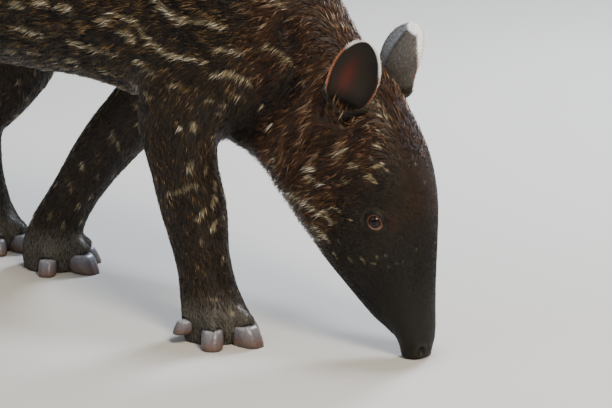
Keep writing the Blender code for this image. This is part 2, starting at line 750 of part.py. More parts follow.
def ear_shell(side, collection):
    """An ear as a thin cup: a tube at the root that opens to a rounded blade."""
    bm = bmesh.new()
    grid = [[bm.verts.new(point) for point in ear_arc(side, up_share, half, 0.0)]
            for up_share, half in ear_outline()]
    for low, high in zip(grid, grid[1:]):
        for k in range(len(low) - 1):
            bm.faces.new((low[k], low[k + 1], high[k + 1], high[k]))
    word = "left" if side > 0 else "right"
    ear = add_object(f"ear_{word}", mesh_of(bm, "ear"), collection)
    thick = ear.modifiers.new("thickness", "SOLIDIFY")
    thick.thickness = EAR_THICKNESS
    thick.offset = 0
    ear.data = evaluated_mesh(ear)
    ear.modifiers.clear()
    return ear


PIT_TOP = 0.44             # how far up the ear its pit is cut out of the flesh
PIT_DEPTH = 0.012          # it goes this far below the root of the ear
PIT_INSET = 0.0020         # it is this much narrower than the middle of the ear's shell
PIT_BULGE = 0.0060         # it clears the mouth of the cup by this much


def ear_pit(side, collection):
    """What the cup of an ear holds clear: the pit that leads down to its canal."""
    up, opening, _ = ear_axes(side)
    rings = []
    for up_share in [share for share in EAR_LOWER_ROWS if share <= PIT_TOP]:
        arc = ear_arc(side, up_share, ear_lower_half(up_share), PIT_INSET)
        clear = PIT_BULGE * min(max((up_share - EAR_CLOSING_HEIGHT) / EAR_CLOSING_HEIGHT, 0), 1)
        rings.append(arc + [arc[-1].lerp(arc[0], share) + opening * clear for share in (0.33, 0.67)])
    root = rings[0]
    middle = sum(root, Vector()) / len(root)
    deep = middle - up * PIT_DEPTH - opening * (0.5 * PIT_DEPTH)
    rings.insert(0, [deep + (point - middle) * 0.5 for point in root])
    return add_object("ear_pit", skin_rings(rings, "ear_pit"), collection)


def make_ears(head, neck, cutters, collection):
    """Both ears, with their roots cut to the shape of the head, and the pit inside each."""
    for side in (-1, 1):
        pit = ear_pit(side, cutters)
        boolean(head, pit, "DIFFERENCE")
        boolean(neck, pit, "DIFFERENCE")
        ear = ear_shell(side, collection)
        for flesh in (head, neck):
            grown = grown_copy(flesh, GAP, cutters)
            boolean(ear, grown, "DIFFERENCE", "MANIFOLD")
        keep_largest(ear)


def make_hooves(parts, cutters, collection):
    """A hoof on every toe, seated in the flesh of the foot."""
    for leg in LEGS:
        foot = parts[foot_name(leg)]
        for number, turn, place, size, height in toe_places(leg):
            name = f"hoof_{foot_name(leg)}_{number}"
            hoof_shape(name, turn, place, size, height, False, collection)
            seat = hoof_shape("seat_" + name, turn, place, size, height, True, cutters)
            boolean(foot, seat, "DIFFERENCE")
        keep_largest(foot)


def stand_at_origin(objects):
    """Moves the whole calf so that the origin is under the middle of its box, on the floor."""
    corners = [v.co for obj in objects for v in obj.data.vertices]
    low = Vector([min(c[i] for c in corners) for i in range(3)])
    high = Vector([max(c[i] for c in corners) for i in range(3)])
    shift = Matrix.Translation((-(low.x + high.x) / 2, -(low.y + high.y) / 2, -low.z))
    for obj in objects:
        obj.data.transform(shift)


def finish_surface(obj, finishes):
    """Shading and material by the kind of node."""
    kind = obj.name.split("_")[0]
    obj.data.materials.clear()
    obj.data.materials.append(finishes.get(kind, finishes["coat"]))
    obj.data.shade_smooth()
    obj.data.set_sharp_from_angle(angle=math.radians(35))


def main():
    for obj in list(bpy.data.objects):
        bpy.data.objects.remove(obj)
    calf = new_collection("malayan_tapir_calf")
    cutters = new_collection("cutters")
    flesh = whole_flesh(calf)
    cut_apart(flesh, cutters)
    parts = parted(flesh, calf)
    make_hooves(parts, cutters, calf)
    make_ears(parts["head"], parts["neck"], cutters, calf)
    make_eyes(parts["head"], cutters, calf)
    make_mouth(parts["head"], cutters)
    cut_nostrils(parts["proboscis"], cutters)
    for helper in list(cutters.objects):
        bpy.data.objects.remove(helper)
    bpy.data.collections.remove(cutters)
    stand_at_origin(list(calf.objects))
    finishes = {
        "coat": material("dark_short_coat", (0.030, 0.020, 0.014), 0.55),
        "ear": material("ear_skin", (0.060, 0.034, 0.026), 0.60),
        "hoof": material("hoof_horn", (0.200, 0.165, 0.160), 0.45),
        "eye": material("dark_eye", (0.012, 0.008, 0.006), 0.08),
    }
    for obj in calf.objects:
        finish_surface(obj, finishes)


main()
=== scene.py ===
"""The young Malayan tapir dressed: one skin, a coat of solid tufts, ears, eyes with lids, and hooves.

Metres, +Z up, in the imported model's frame. The calf faces +X and its left side is +Y.
"""

import json
import math
from contextlib import contextmanager

import bmesh
import bpy
import numpy as np
from mathutils import Matrix, Vector
from mathutils.bvhtree import BVHTree


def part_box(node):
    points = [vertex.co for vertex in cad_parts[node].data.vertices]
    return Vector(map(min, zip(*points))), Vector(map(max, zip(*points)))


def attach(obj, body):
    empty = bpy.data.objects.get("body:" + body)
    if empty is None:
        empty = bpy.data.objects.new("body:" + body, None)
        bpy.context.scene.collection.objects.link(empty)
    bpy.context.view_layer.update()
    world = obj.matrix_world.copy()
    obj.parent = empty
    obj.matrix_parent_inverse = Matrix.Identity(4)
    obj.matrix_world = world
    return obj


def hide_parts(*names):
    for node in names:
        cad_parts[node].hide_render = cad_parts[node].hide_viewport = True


bl_info = {
    "name": "Tapir calf",
    "version": (1, 0, 0),
    "blender": (4, 5, 0),
    "location": "3D View > Sidebar > Calf",
    "description": "Dresses the packed model of a Malayan tapir calf in skin, coat, ears, eyes and hooves",
    "category": "Object",
}

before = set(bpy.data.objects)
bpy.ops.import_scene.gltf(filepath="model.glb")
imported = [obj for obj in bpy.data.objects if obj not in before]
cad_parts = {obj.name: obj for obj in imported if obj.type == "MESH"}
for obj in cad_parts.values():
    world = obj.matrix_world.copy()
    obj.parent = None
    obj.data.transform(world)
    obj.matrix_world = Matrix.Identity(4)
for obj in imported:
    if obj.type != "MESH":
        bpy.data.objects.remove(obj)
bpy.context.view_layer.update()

MM = 0.001
SHIFT = 0.1770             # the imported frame's zero lies this far behind the planted forefoot

# The outline rib by rib from rump to nose, as the solids have it: back line (x, z), under line (x, z),
# half width, where the rib is widest, how pointed it is above and below.
RIBS = [
    (-0.537, 0.424, -0.528, 0.334, 0.034, 0.50, 1.0, 1.0),
    (-0.519, 0.462, -0.508, 0.284, 0.070, 0.50, 1.0, 1.0),
    (-0.470, 0.494, -0.458, 0.256, 0.096, 0.50, 0.9, 0.95),
    (-0.385, 0.507, -0.380, 0.248, 0.106, 0.52, 0.9, 0.95),
    (-0.285, 0.502, -0.282, 0.244, 0.113, 0.56, 0.95, 0.9),
    (-0.185, 0.494, -0.182, 0.243, 0.112, 0.56, 0.95, 0.9),
    (-0.100, 0.494, -0.088, 0.224, 0.102, 0.56, 1.0, 0.95),
    (-0.030, 0.490, -0.018, 0.201, 0.088, 0.58, 1.1, 1.0),
    (0.038, 0.456, 0.019, 0.184, 0.073, 0.56, 1.1, 1.0),
    (0.090, 0.390, 0.0375, 0.158, 0.063, 0.54, 1.05, 1.0),
    (0.133, 0.329, 0.0555, 0.134, 0.057, 0.54, 1.0, 0.92),
    (0.176, 0.284, 0.0750, 0.1115, 0.0545, 0.50, 0.95, 0.92),
    (0.2080, 0.231, 0.0990, 0.0900, 0.056, 0.40, 0.95, 0.95),
    (0.2235, 0.178, 0.1225, 0.0670, 0.0530, 0.38, 0.95, 0.98),
    (0.2282, 0.130, 0.1475, 0.0465, 0.0420, 0.42, 0.9, 0.98),
    (0.2292, 0.088, 0.1695, 0.0340, 0.0325, 0.46, 0.85, 0.9),
    (0.2292, 0.056, 0.1868, 0.0262, 0.0265, 0.48, 0.85, 0.85),
    (0.2290, 0.031, 0.1950, 0.013, 0.0225, 0.48, 0.85, 0.85),
    (0.2275, 0.008, 0.1965, 0.001, 0.0200, 0.48, 0.9, 0.9),
    (0.2215, -0.009, 0.2020, -0.011, 0.0135, 0.48, 1.0, 1.0),
]
RIB_STEPS = 6

# Limbs joint by joint from the top: x, z, out from the middle line, radius fore and aft, radius across
LEGS = {
    "foreleg_right": (-1, [
        (-0.014, 0.415, 0.046, 0.034, 0.016), (-0.004, 0.360, 0.055, 0.056, 0.028),
        (-0.018, 0.290, 0.065, 0.062, 0.036), (-0.040, 0.232, 0.071, 0.050, 0.036),
        (-0.036, 0.182, 0.069, 0.0390, 0.0335), (-0.025, 0.134, 0.066, 0.0370, 0.0330),
        (-0.015, 0.086, 0.066, 0.0305, 0.0285), (-0.007, 0.050, 0.066, 0.0315, 0.0305),
        (0.000, 0.024, 0.066, 0.0350, 0.0350), (0.002, 0.000, 0.066, 0.0335, 0.0335)]),
    "foreleg_left": (1, [
        (-0.010, 0.415, 0.046, 0.034, 0.016), (-0.028, 0.360, 0.053, 0.056, 0.028),
        (-0.080, 0.298, 0.062, 0.062, 0.036), (-0.138, 0.244, 0.064, 0.050, 0.036),
        (-0.187, 0.200, 0.060, 0.0385, 0.0335), (-0.236, 0.148, 0.056, 0.0330, 0.0320),
        (-0.275, 0.094, 0.052, 0.0275, 0.0280), (-0.301, 0.052, 0.050, 0.0295, 0.0300),
        (-0.309, 0.024, 0.050, 0.0345, 0.0345), (-0.309, 0.000, 0.050, 0.0335, 0.0335)]),
    "hindleg_left": (1, [
        (-0.440, 0.430, 0.042, 0.055, 0.026), (-0.430, 0.380, 0.054, 0.080, 0.040),
        (-0.404, 0.316, 0.068, 0.078, 0.044), (-0.372, 0.250, 0.077, 0.057, 0.037),
        (-0.396, 0.196, 0.078, 0.042, 0.031), (-0.434, 0.150, 0.076, 0.0345, 0.0260),
        (-0.435, 0.100, 0.076, 0.0265, 0.0250), (-0.428, 0.052, 0.076, 0.0285, 0.0280),
        (-0.420, 0.024, 0.076, 0.0330, 0.0325), (-0.418, 0.000, 0.076, 0.0315, 0.0315)]),
    "hindleg_right": (-1, [
        (-0.440, 0.430, 0.042, 0.055, 0.026), (-0.438, 0.380, 0.054, 0.080, 0.040),
        (-0.430, 0.316, 0.068, 0.078, 0.044), (-0.410, 0.252, 0.077, 0.057, 0.037),
        (-0.450, 0.202, 0.078, 0.042, 0.031), (-0.496, 0.158, 0.076, 0.0340, 0.0260),
        (-0.508, 0.106, 0.076, 0.0265, 0.0250), (-0.509, 0.054, 0.076, 0.0285, 0.0280),
        (-0.502, 0.024, 0.076, 0.0330, 0.0325), (-0.500, 0.000, 0.076, 0.0315, 0.0315)]),
}
TAIL = [(-0.515, 0.435, 0.0200), (-0.541, 0.422, 0.0165), (-0.561, 0.398, 0.0135),
        (-0.571, 0.372, 0.0112), (-0.575, 0.349, 0.0085), (-0.576, 0.341, 0.0060)]   # x, z, radius

# Toes: number from the inside, degrees from straight ahead, reach, size, height of the sole
FORE_TOES = [(2, -62, 0.027, 0.84, 0.000), (3, 0, 0.035, 1.06, 0.000),
             (4, 55, 0.030, 0.98, 0.000), (5, 110, 0.031, 0.66, 0.011)]
HIND_TOES = [(2, -46, 0.027, 0.86, 0.000), (3, 0, 0.033, 1.02, 0.000), (4, 46, 0.027, 0.86, 0.000)]
TURNED_OUT = {"foreleg_right": 4, "foreleg_left": 0, "hindleg_left": 4, "hindleg_right": 4}
HOOF_RADII = Vector((0.0165, 0.0118, 0.0200))
HOOF_AHEAD = 0.0070
HOOF_LEAN = 24

EAR_LENGTH = 0.0842
EARS = {  # side (+1 is left): the way the ear points, half its width, how far up it is widest, its root
    -1: (Vector((0.33, 0.20, 1.0)), 0.0258, 0.48, Vector((0.1490, 0.0510, 0.2632))),
    1: (Vector((0.19, 0.15, 1.0)), 0.0288, 0.61, Vector((0.1530, 0.0512, 0.2613))),
}

# The crease where the bent neck folds over the shoulder, in millimetres, on the right side
CREASE = [(262, -47, 338), (271, -48, 318), (275, -51, 296), (270, -55, 279), (261, -58, 269),
          (242, -61, 243), (222, -57, 226), (211, -53, 218)]

MOUTH_LINE = [(0.1905, 0.0280), (0.1870, 0.0350), (0.1812, 0.0432), (0.1740, 0.0520),
              (0.1665, 0.0608), (0.1588, 0.0696), (0.1515, 0.0776)]      # x, z
NOSTRIL_PLACE = Vector((0.2260, 0.0110, 0.0085))
NOSTRIL_RADII = (0.0042, 0.0050, 0.0062)
NOSTRIL_TURN = 28

# Cream markings on the right side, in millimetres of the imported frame: points along each one, its
# width, and how strongly its pale hair covers the dark.
STREAKS = [
    ([(125, -97, 361), (146, -99, 348), (167, -98, 343), (189, -93, 344), (209, -84, 340)], 6, 1),
    ([(73, -103, 341), (95, -100, 338), (111, -96, 323), (123, -96, 312), (142, -97, 305),
      (162, -98, 305), (189, -94, 303)], 6, 1),
    ([(197, -91, 316), (210, -85, 316), (223, -74, 312)], 5, 1),
    ([(194, -93, 290), (209, -84, 291), (224, -70, 284)], 6, 1),
    ([(225, -69, 282), (227, -67, 277)], 3, 1),
    ([(240, -61, 321), (253, -57, 316), (264, -53, 308), (272, -52, 298)], 4, 1),
    ([(244, -48, 367), (254, -45, 358)], 4, 1),
    ([(261, -44, 351), (262, -44, 347)], 3, 1),
    ([(275, -52, 288), (280, -52, 282)], 4, 0.8),
    ([(210, -81, 271), (214, -71, 263)], 3, 0.7),
    ([(201, -84, 257), (204, -80, 256)], 5, 0.6),
    ([(194, -87, 248), (199, -80, 246)], 5, 0.6),
    ([(188, -95, 262), (196, -91, 262)], 5, 0.9),
    ([(173, -97, 236), (175, -94, 228)], 7, 0.9),
    ([(183, -75, 218), (184, -70, 221)], 5, 0.6),
    ([(234, -63, 259), (238, -62, 254)], 5, 0.8),
    ([(239, -60, 235), (247, -60, 243)], 4, 0.9),
    ([(150, -103, 275), (159, -102, 275)], 5, 0.9),
    ([(106, -103, 262), (124, -102, 258)], 6, 0.9),
    ([(159, -102, 232), (161, -101, 228)], 4, 0.8),
    ([(240, -52, 202), (245, -49, 188)], 5, 0.9),
    ([(284, -54, 197), (295, -54, 197)], 7, 1),
    ([(286, -54, 188), (295, -53, 184), (304, -54, 181)], 5, 1),
    ([(323, -53, 218), (333, -51, 222)], 4.5, 1),
    ([(337, -53, 209), (346, -52, 206)], 6, 1),
    ([(359, -46, 218), (362, -46, 216)], 4, 0.8),
    ([(362, -34, 244), (363, -35, 240)], 5, 0.9),
    ([(364, -38, 232), (367, -39, 226)], 5, 0.9),
    ([(365, -46, 208), (373, -40, 211)], 4, 1),
    ([(359, -51, 199), (364, -50, 197), (369, -48, 192)], 5, 1),
    ([(330, -55, 191), (337, -55, 188)], 5, 0.6),
    ([(376, -40, 206), (378, -39, 204)], 3, 0.6),
    ([(254, -43, 164), (280, -51, 158), (302, -52, 148)], 5.5, 1),
    ([(305, -52, 156), (310, -52, 148), (316, -51, 140)], 6, 0.9),
    ([(315, -54, 161), (328, -54, 156)], 4, 0.6),
    ([(286, -49, 135), (299, -49, 129), (310, -46, 119)], 6, 0.95),
    ([(275, -31, 118), (298, -45, 120)], 4, 0.8),
    ([(341, -55, 150), (343, -55, 150)], 3, 0.9),
    ([(323, -49, 125), (325, -49, 121)], 4, 0.6),
    ([(312, -42, 108), (316, -41, 102)], 4.5, 0.7),
    ([(289, -28, 101), (290, -28, 100)], 3, 0.5),
    ([(334, -47, 107), (339, -46, 104)], 4, 0.6),
    ([(351, -49, 111), (355, -47, 104)], 4, 0.7),
    ([(362, -46, 105), (367, -45, 105)], 2.5, 0.9),
    ([(369, -47, 114), (370, -46, 112)], 3, 0.8),
    ([(377, -43, 116), (379, -43, 115)], 3, 0.9),
    ([(386, -36, 107), (387, -35, 106)], 3, 0.9),
    ([(379, -40, 103), (380, -40, 102)], 3, 0.8),
    ([(400, -19, 120), (400, -18, 119)], 3, 0.8),
    ([(354, -22, 271), (357, -22, 266)], 3, 1),
    ([(359, -27, 259), (361, -26, 257)], 3.5, 1),
    ([(363, -21, 259), (366, -21, 255)], 4, 1),
    ([(350, -38, 252), (352, -38, 246)], 3, 0.8),
    ([(330, -48, 254), (333, -50, 251)], 2.5, 0.7),
    ([(349, -25, 274), (351, -26, 270)], 3, 0.7),
    ([(392, -9, 208), (393, -7, 206)], 3, 0.6),
    ([(397, -1, 189), (397, 1, 185)], 3, 0.6),
    ([(392, -32, 109), (393, -32, 108)], 2.5, 0.5),
    ([(168, -92, 194), (167, -93, 184)], 7, 0.6),
    ([(177, -77, 186), (177, -78, 181)], 4, 0.6),
    ([(173, -88, 170), (159, -98, 163), (142, -100, 156)], 5.5, 0.55),
    ([(182, -67, 169), (183, -70, 162)], 6, 0.6),
    ([(184, -71, 155), (185, -76, 146)], 6, 0.75),
    ([(180, -85, 143), (178, -88, 137)], 5, 1),
    ([(175, -91, 135), (175, -91, 131)], 4, 0.8),
    ([(188, -73, 130), (185, -80, 120)], 5, 1),
    ([(188, -59, 136), (189, -63, 129)], 4, 0.6),
    ([(179, -89, 112), (177, -90, 106)], 5, 0.5),
    ([(192, -68, 90), (192, -71, 83)], 3, 0.6),
    ([(208, -77, 35), (211, -78, 32)], 4, 0.7),
    ([(185, -94, 50), (197, -86, 49)], 4, 0.45),
    ([(185, -50, 108), (189, -56, 99)], 3.5, 0.5),
]
# Rows of broken stripes and of spots along the trunk: share of the way from the under line to the back
# line, then the mean length, gap and width of a mark in millimetres.
FLANK_ROWS = [(0.93, 46, 16, 6), (0.80, 60, 18, 7), (0.66, 16, 16, 9), (0.52, 58, 20, 7),
              (0.38, 14, 18, 9), (0.25, 42, 20, 7), (0.13, 12, 20, 7)]
LAST_RIB = {-1: 6.6, 1: 10.6}      # the rows end at this rib on the right and on the left

FLESH = ["torso", "neck", "head", "proboscis", "tail", *LEGS,
         "forefoot_right", "forefoot_left", "hindfoot_right", "hindfoot_left"]
EYES = {"right": -1, "left": 1}


def length_setting(name, description, default):
    return bpy.props.FloatProperty(
        name=name, description=description, default=default, subtype="DISTANCE", unit="LENGTH")


def colour_setting(name, description, default):
    return bpy.props.StringProperty(name=name, description=description, default=default)


class CalfSettings(bpy.types.PropertyGroup):
    """Sizes and colours of the coat, skin and horn."""

    skin_mesh: length_setting("Skin mesh", "Size of the skin's mesh on the trunk", 0.0028)
    trunk_hair: length_setting("Trunk hair", "Length of a tuft on the trunk", 0.0135)
    neck_hair: length_setting("Neck hair", "Length of a tuft on neck and shoulder", 0.0145)
    face_hair: length_setting("Face hair", "Length of a tuft on the face", 0.0037)
    leg_hair: length_setting("Leg hair", "Length of a tuft on the lower legs", 0.0080)
    coat_depth: length_setting("Coat depth", "Thickness of the coat on the trunk", 0.0034)
    tuft_cover: bpy.props.FloatProperty(
        name="Tuft cover", description="How often the tufts cover the skin over", default=1.55, min=0.0)
    dark_hair: colour_setting("Dark hair", "Colour of the dark coat", "#2a1d0f")
    brown_hair: colour_setting("Brown hair", "Colour of the lighter dark hairs", "#604a2a")
    cream_hair: colour_setting("Cream hair", "Colour of the streaks and spots", "#efe6cf")
    horn: colour_setting("Horn", "Colour of the hooves", "#81797d")
    rim: colour_setting("Ear rim", "Colour of the rim of an ear", "#ffffff")


def settings():
    """The sizes and colours that the user may have changed."""
    return bpy.context.scene.calf


def linear(code):
    """An sRGB hex colour as linear RGBA."""
    values = [int(code[i:i + 2], 16) / 255 for i in (1, 3, 5)]
    return (*[v / 12.92 if v <= 0.04045 else ((v + 0.055) / 1.055) ** 2.4 for v in values], 1.0)


def add_node(tree, kind, inputs=None, stops=(), **properties):
    """A node with its settings and links: inputs are values or sockets, stops the places and hex colours."""
    made = tree.nodes.new(kind)
    for name, value in properties.items():
        setattr(made, name, value)
    for name, value in (inputs or {}).items():
        if isinstance(value, bpy.types.NodeSocket):
            tree.links.new(value, made.inputs[name])
        else:
            made.inputs[name].default_value = value
    if stops:
        elements = made.color_ramp.elements
        for element, (place, code) in zip(elements, (stops[0], stops[-1])):
            element.position = place
            element.color = linear(code)
        for place, code in stops[1:-1]:
            elements.new(place).color = linear(code)
    return made


def per_metre(size):
    """The scale of a pattern whose marks are this many millimetres apart."""
    return 1 / (size * MM)


def new_material(name, roughness):
    """A material with its node tree and its shader."""
    made = bpy.data.materials.new(name)
    made.use_nodes = True
    tree = made.node_tree
    shader = tree.nodes["Principled BSDF"]
    shader.inputs["Roughness"].default_value = roughness
    return made, tree, shader


def steps(low, high, values):
    """0 below low and 1 above high, smooth between; low may be the larger."""
    share = np.clip((values - low) / (high - low), 0, 1)
    return share * share * (3 - 2 * share)


def bell(values, width):
    """1 at zero, falling smoothly to nearly nothing at twice the width."""
    return np.exp(-((values / width) ** 2))


def between(values, rise, fall):
    """1 between two soft limits: rise and fall say where each of them begins and ends."""
    return steps(*rise, values) * steps(fall[1], fall[0], values)


def unit(vectors):
    """The vectors made one long."""
    return vectors / np.maximum(np.linalg.norm(vectors, axis=-1, keepdims=True), 1e-12)


def laid_flat(vectors, normals):
    """What is left of vectors along the surface that the normals belong to."""
    return vectors - normals * (vectors * normals).sum(1, keepdims=True)


def path_lengths(points):
    """How far along a path each of its points lies."""
    return np.concatenate(([0], np.cumsum(np.linalg.norm(np.diff(points, axis=0), axis=1))))


def waves(points, size, seed, count=8):
    """A smooth random number near -1 to 1 at each point, made of waves about size long."""
    source = np.random.default_rng(seed)
    total = np.zeros(len(points))
    for _ in range(count):
        run = unit(source.normal(size=3))
        pitch = 2 * math.pi / (size * source.uniform(0.7, 1.6))
        total += np.sin(points @ run * pitch + source.uniform(0, 2 * math.pi))
    return total / math.sqrt(count)


def smooth_rows(rows, count):
    """Rows of numbers with count rows for each span, on a smooth curve through them all."""
    rows = np.array(rows, float)
    slopes = np.gradient(rows, axis=0)
    made = []
    for i in range(len(rows) - 1):
        for t in np.arange(count) / count:
            made.append((2 * t**3 - 3 * t**2 + 1) * rows[i] + (t**3 - 2 * t**2 + t) * slopes[i]
                        + (3 * t**2 - 2 * t**3) * rows[i + 1] + (t**3 - t**2) * slopes[i + 1])
    made.append(rows[-1])
    return np.array(made)


TRUNK = smooth_rows(RIBS, RIB_STEPS)
TRUNK[:, 0] += SHIFT
TRUNK[:, 2] += SHIFT
TRUNK_MIDDLE = (TRUNK[:, 0:2] + TRUNK[:, 2:4]) / 2
TRUNK_RUN = path_lengths(TRUNK_MIDDLE)
RIB_LENGTHS = np.linalg.norm(TRUNK[:, 2:4] - TRUNK[:, 0:2], axis=1)
LIMBS = {}
for leg_name, (leg_side, leg_rows) in LEGS.items():
    path = smooth_rows(leg_rows, 4)
    middle = np.stack((path[:, 0] + SHIFT, leg_side * path[:, 2], path[:, 1]), axis=1)
    LIMBS[leg_name] = (middle, (path[:, 3] + path[:, 4]) / 2)
tail_path = smooth_rows(TAIL, 4)
LIMBS["tail"] = (np.stack((tail_path[:, 0] + SHIFT, 0 * tail_path[:, 0], tail_path[:, 1]), axis=1),
                 tail_path[:, 2])
CHUNK = 20000              # points that are measured at a time
HALF_GIRTH = 1.3           # half the way round the body for each metre of a rib's length
LEAN_STEP = 24             # degrees between the slants that the locks of hair are drawn for


def place_on_trunk(points):
    """For each point, how far along the ribs it lies (0 at the rump) and how far down its rib."""
    backs = TRUNK[:, 0:2]
    downs = TRUNK[:, 2:4] - backs
    lengths = RIB_LENGTHS
    rib = np.empty(len(points))
    down = np.empty(len(points))
    for start in range(0, len(points), CHUNK):
        flat = points[start:start + CHUNK][:, (0, 2)]
        offset = flat[:, None, :] - backs[None]
        share = np.clip((offset * downs[None]).sum(-1) / lengths**2, 0, 1)
        aside = (offset[..., 0] * -downs[None, :, 1] + offset[..., 1] * downs[None, :, 0]) / lengths
        far = np.linalg.norm(offset - share[..., None] * downs[None], axis=-1)
        rows = np.arange(len(flat))
        near = far.argmin(1)
        here = aside[rows, near]
        step = np.where(here > 0, 1, -1)
        other = np.clip(near + step, 0, len(TRUNK) - 1)
        there = np.abs(aside[rows, other])
        part = np.where(other == near, 0, np.abs(here) / np.maximum(np.abs(here) + there, 1e-9))
        rib[start:start + CHUNK] = near + step * part
        down[start:start + CHUNK] = share[rows, near]
    return np.clip(rib, 0, len(TRUNK) - 1), down


def place_on_limb(points, name):
    """For each point, the nearest step of a limb's path and its distance in radii."""
    middle, radii = LIMBS[name]
    near = np.empty(len(points), int)
    far = np.empty(len(points))
    for start in range(0, len(points), CHUNK):
        part = np.linalg.norm(points[start:start + CHUNK][:, None] - middle[None], axis=-1) / radii[None]
        near[start:start + CHUNK] = part.argmin(1)
        far[start:start + CHUNK] = part.min(1)
    return near, far


def limb_share(points, name, far):
    """How far each point belongs to a limb rather than to the trunk."""
    if name == "tail":
        return steps(-0.357, -0.369, points[:, 0]) * steps(2.2, 1.5, far)
    side = LEGS[name][0]
    return steps(0.335, 0.245, points[:, 2]) * steps(1.9, 1.25, far) * (points[:, 1] * side > 0)


def around_limb(points, name):
    """The nearest step of a limb's path, whether each point is on the limb, its offset and its angle."""
    middle, _ = LIMBS[name]
    near, far = place_on_limb(points, name)
    offset = points - middle[near]
    turn = np.arctan2(offset[:, 1], offset[:, 0] * 0.7 + offset[:, 2] * 0.7)
    return near, limb_share(points, name, far) > 0.5, offset, turn


def strand_places(points):
    """Metres along and across the strands of hair at each point, and which way across counts up."""
    rib, down = place_on_trunk(points)
    count = np.arange(len(TRUNK))
    side = np.where(points[:, 1] > 0, 1.0, -1.0)
    run = np.interp(rib, count, TRUNK_RUN)
    around = np.arccos(np.clip(1 - 2 * down, -1, 1)) / math.pi
    around = around * np.interp(rib, count, RIB_LENGTHS) * HALF_GIRTH
    way = -side
    around = around + side
    for name, (middle, radii) in LIMBS.items():
        near, member, offset, turn = around_limb(points, name)
        tangent = unit(np.gradient(middle, axis=0))[near]
        run = np.where(member, path_lengths(middle)[near] + (offset * tangent).sum(1), run)
        around = np.where(member, turn * radii.mean() + 3, around)
        way = np.where(member, 1, way)
    return run, around, way


def clumps(run, around, tilt, size, seed):
    """A smooth number near -1 to 1 that is drawn out along the strands: hairs that stick together."""
    total = np.zeros(len(run))
    squares = np.full(len(run), 1e-9)
    for k in range(4):
        turn = math.radians(k * LEAN_STEP)
        weight = np.clip(1 - np.abs(tilt - turn) / math.radians(LEAN_STEP), 0, 1)
        along = around * math.sin(turn) - run * math.cos(turn)
        across = run * math.sin(turn) + around * math.cos(turn)
        sway = 0.0011 * np.sin(along * 520 + 3 * np.sin(across * 110))
        total += weight * waves(np.stack((along * 0.16, across + sway, 0 * run), axis=1), size, seed + k, 12)
        squares += weight**2
    return total / np.sqrt(squares)


DROOP = [(0, 0.9), (3, 0.35), (6, 0.35), (7.6, 0.55), (8.9, 1.3), (10.3, 2.3), (11.3, 2.2), (12.3, 0.9),
         (13.6, 0.25), (19, 0.0)]      # at each rib, how much the hair lies down for each part back


def droop_of_coat(along, down):
    """How much the hair lies down the ribs for each part that it lies back; less along the spine."""
    droop = np.interp(along, *zip(*DROOP))
    return droop * (0.25 + 0.75 * steps(0.0, 0.16, down))


def lie_of_coat(points, normals):
    """The way the hair lies at each point of the skin: back along the body, down the limbs."""
    rib, down = place_on_trunk(points)
    low = np.clip(np.floor(rib).astype(int) - 2, 0, len(TRUNK) - 1)
    high = np.clip(low + 4, 0, len(TRUNK) - 1)
    share = down[:, None]
    near = TRUNK[low, 0:2] * (1 - share) + TRUNK[low, 2:4] * share
    ahead = TRUNK[high, 0:2] * (1 - share) + TRUNK[high, 2:4] * share
    back = unit(near - ahead)
    fall = unit(TRUNK[low, 2:4] - TRUNK[low, 0:2])
    droop = droop_of_coat(rib / RIB_STEPS, down)
    flat = back + fall * droop[:, None]
    lie = np.stack((flat[:, 0], np.zeros(len(points)), flat[:, 1]), axis=1)
    lie = unit(laid_flat(lie, normals))
    for name, (middle, _) in LIMBS.items():
        near, far = place_on_limb(points, name)
        weight = limb_share(points, name, far)[:, None]
        run = unit(laid_flat(unit(np.gradient(middle, axis=0))[near], normals))
        lie = lie * (1 - weight) + run * weight
    return unit(laid_flat(lie, normals))


# Where the regions of the coat begin and end along the body, counted in ribs from the rump
FACE = (11.3, 12.8)
LOW_FACE = (13.0, 14.2)
SNOUT = (14.0, 16.5)
NOSE_TIP = (17.2, 18.4)
NECK = ((7.2, 8.6), (11.0, 12.2))
WARM_NECK = ((7.9, 8.8), (11.2, 12.6))
# the top of the brow is tinted warm partly for its own reddish hair and partly as a painted sheen of light on
# the forehead
BROW_RED_AND_SHEEN = ((11.5, 12.5), (13.0, 14.5))
THROAT = ((8.2, 9.2), (13.2, 14.2))
BELLY_END = (8.5, 7.0)


def region_values(points):
    """Numbers from 0 to 1 that say where on the calf each point is."""
    rib, down = place_on_trunk(points)
    along = rib / RIB_STEPS
    limb = np.zeros(len(points))
    for name in LIMBS:
        limb = np.maximum(limb, limb_share(points, name, place_on_limb(points, name)[1]))
    rest = 1 - limb
    corner = np.zeros(len(points))
    for side in EYES.values():
        centre, _, _, ahead, over = eye_parts(side)
        far = np.linalg.norm(points - centre - ahead * 0.006 + over * side * 0.018, axis=1)
        corner = np.maximum(corner, 0.9 * bell(far, 0.012))
    nape = between(along, *WARM_NECK) * steps(1.0, 0.8, down)
    # partly painted sheen: the top of the forehead is made warmer and lighter
    brow_red_and_sheen = 0.8 * between(along, *BROW_RED_AND_SHEEN) * steps(0.10, 0.02, down)
    return {
        "along": along,
        "down": down,
        "limb": limb,
        "face": steps(*FACE, along) * rest,
        "snout": steps(*SNOUT, along) * rest,
        "low_face": steps(*LOW_FACE, along) * rest,
        "neck": between(along, *NECK) * rest,
        "warm": np.clip((nape + brow_red_and_sheen) * rest + corner, 0, 1),
        "tip": steps(*NOSE_TIP, along) * steps(0.42, 0.16, down) * 0.8,
        "belly": steps(0.82, 0.97, down) * steps(*BELLY_END, along) * rest,
        "fringe": steps(0.84, 0.96, down) * between(along, *THROAT) * rest,
        "foot": limb * steps(0.060, 0.030, points[:, 2]),
        "shin": limb * steps(0.190, 0.110, points[:, 2]),
    }


def coat_depth_at(where):
    """How thick the coat is: thin on face and limbs, thinnest on feet and snout."""
    depth = settings().coat_depth * (1 - 0.72 * where["face"]) * (1 - 0.55 * where["limb"])
    return depth * (1 - 0.5 * where["foot"]) * (1 - 0.45 * where["snout"])


